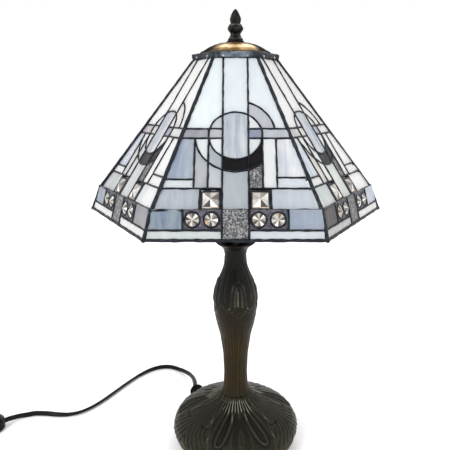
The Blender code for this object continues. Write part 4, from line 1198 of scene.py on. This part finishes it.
def finial_relief(turn, share):
    """Bud petals above, twisted petals on the ball, a ring above the flare; share runs from tip to foot."""
    bud = step_up(0.46 - share, 0, 0.04) * step_up(share, 0.02, 0.1)
    ball = step_up(share, 0.46, 0.5) * step_up(0.7 - share, 0, 0.04)
    upright = np.abs(np.sin(PETALS / 2 * turn + 0.5)) ** 0.6
    offset = np.abs(np.sin(PETALS / 2 * turn + 0.5 + pi / 2)) ** 0.6
    twisted = np.abs(np.sin(PETALS / 2 * turn + 9 * share)) ** 0.6
    relief = 0.00055 * bud * (np.where(share < 0.26, upright, offset) - 0.7)
    relief += 0.0007 * ball * (twisted - 0.6)
    relief += 0.0005 * ridge(share - 0.475, 0.018)
    neck = step_up(share, 0.7, 0.73) * step_up(0.88 - share, 0, 0.03)
    relief += 0.0003 * neck * np.cos(PETALS * turn)
    return relief + 0.00045 * ridge(share - 0.9, 0.014) - 0.0004 * ridge(share - 0.945, 0.014)


low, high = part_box("finial")
outline, run = even(outline_of("finial", low.z + 0.0002, high.z - 0.0001, 260), 150, 2)
share = (run / run[-1])[:, None]
relief = finial_relief(full_turn(FINIAL_AROUND), share) * step_up(share, 0.0, 0.05)
CAST_TOP = bronze("finial_bronze", FINIAL_BRONZE, FINIAL_BRONZE)
solid_form(outline, FINIAL_AROUND, relief, np.clip(0.45 + relief / 0.0011, 0, 1)).build(
    "cast_finial", "finial_knob", [CAST_TOP], "bronze", ["finial"], SMOOTH)

DOME_AROUND = 168


def dome_finish():
    """Brass under a near-black patina, with a painted gold highlight in front and behind, gold and metallic
    where it is painted.
    """
    finish = Finish("dome_bronze", {"Specular IOR Level": 0.0})
    highlight_patches = finish.sum(finish.stored("relief"), finish.stray(160, 4, 0.5))
    stops = [(0.15, "242424"), (0.42, "35322e"), (0.62, "6b5028"), (0.8, "ab8145"), (0.95, "f4d6a4")]
    finish.feed("Base Color", finish.ramp(highlight_patches, stops))
    finish.feed("Metallic", finish.spread(highlight_patches, 0.45, 0.75, 0.0, 0.9))
    finish.wear("Roughness", finish.noise(200, 3), 0.28, 0.5)
    finish.bumps(finish.noise(420, 4), 0.25, 0.0005)
    return finish.made


low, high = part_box("cap_dome")
outline, run = even(outline_of("cap_dome", low.z + 0.0002, high.z - 0.0001, 200), 60, 3)
turns = full_turn(DOME_AROUND)
share = (run / run[-1])[:, None]
dents = np.cos(19 * turns + 7 * share) * np.cos(14 * share) * np.sin(turns * 5)
hammered = 0.00016 * dents * step_up(1 - share, 0, 0.1)
# Painted highlight: gold painted in a band on the dome's slope, in front and behind; darker near the top.
wear_and_highlight = step_up(np.abs(np.sin(turns)), 0.45, 0.97)
painted_gold_highlight = 0.18 + 0.42 * wear_and_highlight + 0.4 * wear_and_highlight * ridge(share - 0.66, 0.16) - 0.25 * ridge(share - 0.08, 0.2)
turned_form(outline, DOME_AROUND, hammered, painted_gold_highlight, 0.0009).build(
    "dome", "shade", [dome_finish()], "bronze", ["cap_dome"], SMOOTH)


def build_collar():
    """The soldered band round the top of the glass, lumpy at its corners, a drop on each upright lead."""
    low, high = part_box("shade_collar")
    corner = high.x - 0.0004
    tall = high.z - low.z
    section = [(-0.0018, 0.02), (-0.0006, 0.0), (0.0001, 0.1), (0.0003, 0.35), (0.0002, 0.62), (0.0004, 0.84),
               (-0.0002, 0.97), (-0.0014, 1.0), (-0.0045, 0.985), (-0.0088, 0.97), (-0.009, 0.8), (-0.002, 0.78)]
    turns = full_turn(240)
    nearest = wrap(turns - pi / 6, pi / 3)
    apothem = corner * cos(pi / 6)
    flat = apothem / np.cos(nearest)
    lump = ridge(np.abs(nearest) - pi / 6, 0.05)
    rings = []
    for i, (out, up) in enumerate(section):
        outside = 1 if 0 < i < 8 else 0
        lumps = 0.0005 * lump * sin(pi * min(1, max(0, up)))
        swell = outside * (lumps + wobble(turns * corner, 3.1 + i * 0.4, 0.00022))
        radius = flat + out + swell
        height = low.z + tall * up + outside * wobble(turns * corner, 7.7, 0.0002)
        rings.append(np.stack([radius * np.cos(turns), radius * np.sin(turns), height], axis=-1))
    form = Form()
    # Painted shade: the faces turned to the left and right are darker; the corners are darker too.
    sides = step_up(np.abs(np.cos(turns)), 0.42, 0.58)
    tone = 0.24 - 0.2 * step_up(np.abs(nearest), 0.34, 0.5) - 0.22 * sides
    form.add(rings, ring_faces(len(section), len(turns)), relief=np.tile(tone, len(section)))
    for number, (upper, _) in panels.items():
        for t in (-STRIP, STRIP):
            drop = upper.at(t, -0.12, 0.16)
            blob(form, drop, upper.out, 0.0017, 0.0011, 1, relief=0.0)
    form.build("collar", "shade", [collar_finish(), TIN], "dark_solder", ["shade_collar"], 60)


def collar_finish():
    """Lead band: blue-grey on its front and back faces, with painted shade on the four side faces, and darker
    round the corners.
    """
    finish = Finish("collar_solder", {"Metallic": 0.25, "Specular IOR Level": 0.1})
    tone = finish.sum(finish.noise(150, 4), finish.stored("relief"))
    finish.feed("Base Color", finish.ramp(tone, [(0.35, "16181b"), (0.6, "33393f"), (0.85, "6f7b86")]))
    finish.wear("Roughness", finish.noise(480, 3), 0.3, 0.5)
    finish.bumps(finish.noise(380, 3), 0.35, 0.0006)
    return finish.made


build_collar()


# ---------------- finishes for the rest


PLASTIC = plain("black_plastic", {"Specular IOR Level": 0.12}, "060504", "0e0b09", 90, (0.28, 0.42), 0.08)
BRASS = plain("lacquered_brass", {"Metallic": 1.0}, "8a6529", "c39a52", 140, (0.22, 0.38))
STEEL = plain("plated_steel", {"Metallic": 1.0}, "77797b", "b1b2b3", 200, (0.25, 0.42))
IRON = plain("cast_iron", {"Metallic": 0.8}, "17181a", "35353a", 260, (0.5, 0.75), 0.6)
FELT = plain("felt", {"Specular IOR Level": 0.1, "Sheen Weight": 0.5}, "0c1410", "1f2d25", 900, (0.9, 1), 0.9)
CERAMIC = plain("ceramic", {}, "cfccc3", "e8e6de", 120, (0.25, 0.4))
BULB = plain("frosted_bulb", {"Transmission Weight": 0.3}, "e9e9e6", "f7f7f4", 60, (0.35, 0.5), 0.05)
COATS = {
    "black_plastic": (PLASTIC, ["switch_bottom", "switch_top", "switch_rocker", "plug_body", "cord_tie"]),
    "grip_rubber": (RUBBER, ["plug_sleeve"]),
    "lacquered_brass": (BRASS, ["holder_shell", "holder_cap", "holder_contact", "bulb_cap", "bulb_contact",
                                "harp_stud", "harp", "left_sleeve", "right_sleeve", "switch_contact_1",
                                "switch_contact_2"]),
    "plated_steel": (STEEL, ["bottom_plate", "base_washer", "base_nut", "threaded_tube", "harp_saddle",
                             "saddle_nut", "shade_spider", "rocker_pin", "switch_screw_1", "switch_screw_2", "plug_pin_1",
                             "plug_pin_2"]),
    "ballast_iron": (IRON, ["ballast"]),
    "felt": (FELT, ["felt_pad"]),
    "holder_ceramic": (CERAMIC, ["holder_insert"]),
    "bulb_glass": (BULB, ["bulb_glass", "bulb_mount"]),
    "cord_jacket": (plain("inner_wire", {}, "1a1512", "2a221d", 200, (0.35, 0.5)), ["inner_wire"]),
}
ROUNDED = {"switch_bottom": 0.0012, "switch_top": 0.0014, "switch_rocker": 0.0004, "plug_body": 0.0008,
           "cord_tie": 0.0003}


def coat_nodes():
    """Gives every frame node that still shows its finish, and rounds the moulded ones' edges."""
    for finish, names in COATS.values():
        for name in names:
            mesh = nodes[name].data
            mesh.materials.clear()
            mesh.materials.append(finish)
    for name, width in ROUNDED.items():
        bevel = nodes[name].modifiers.new("rounded", "BEVEL")
        bevel.width, bevel.segments, bevel.limit_method, bevel.angle_limit = width, 3, "ANGLE", radians(40)


coat_nodes()
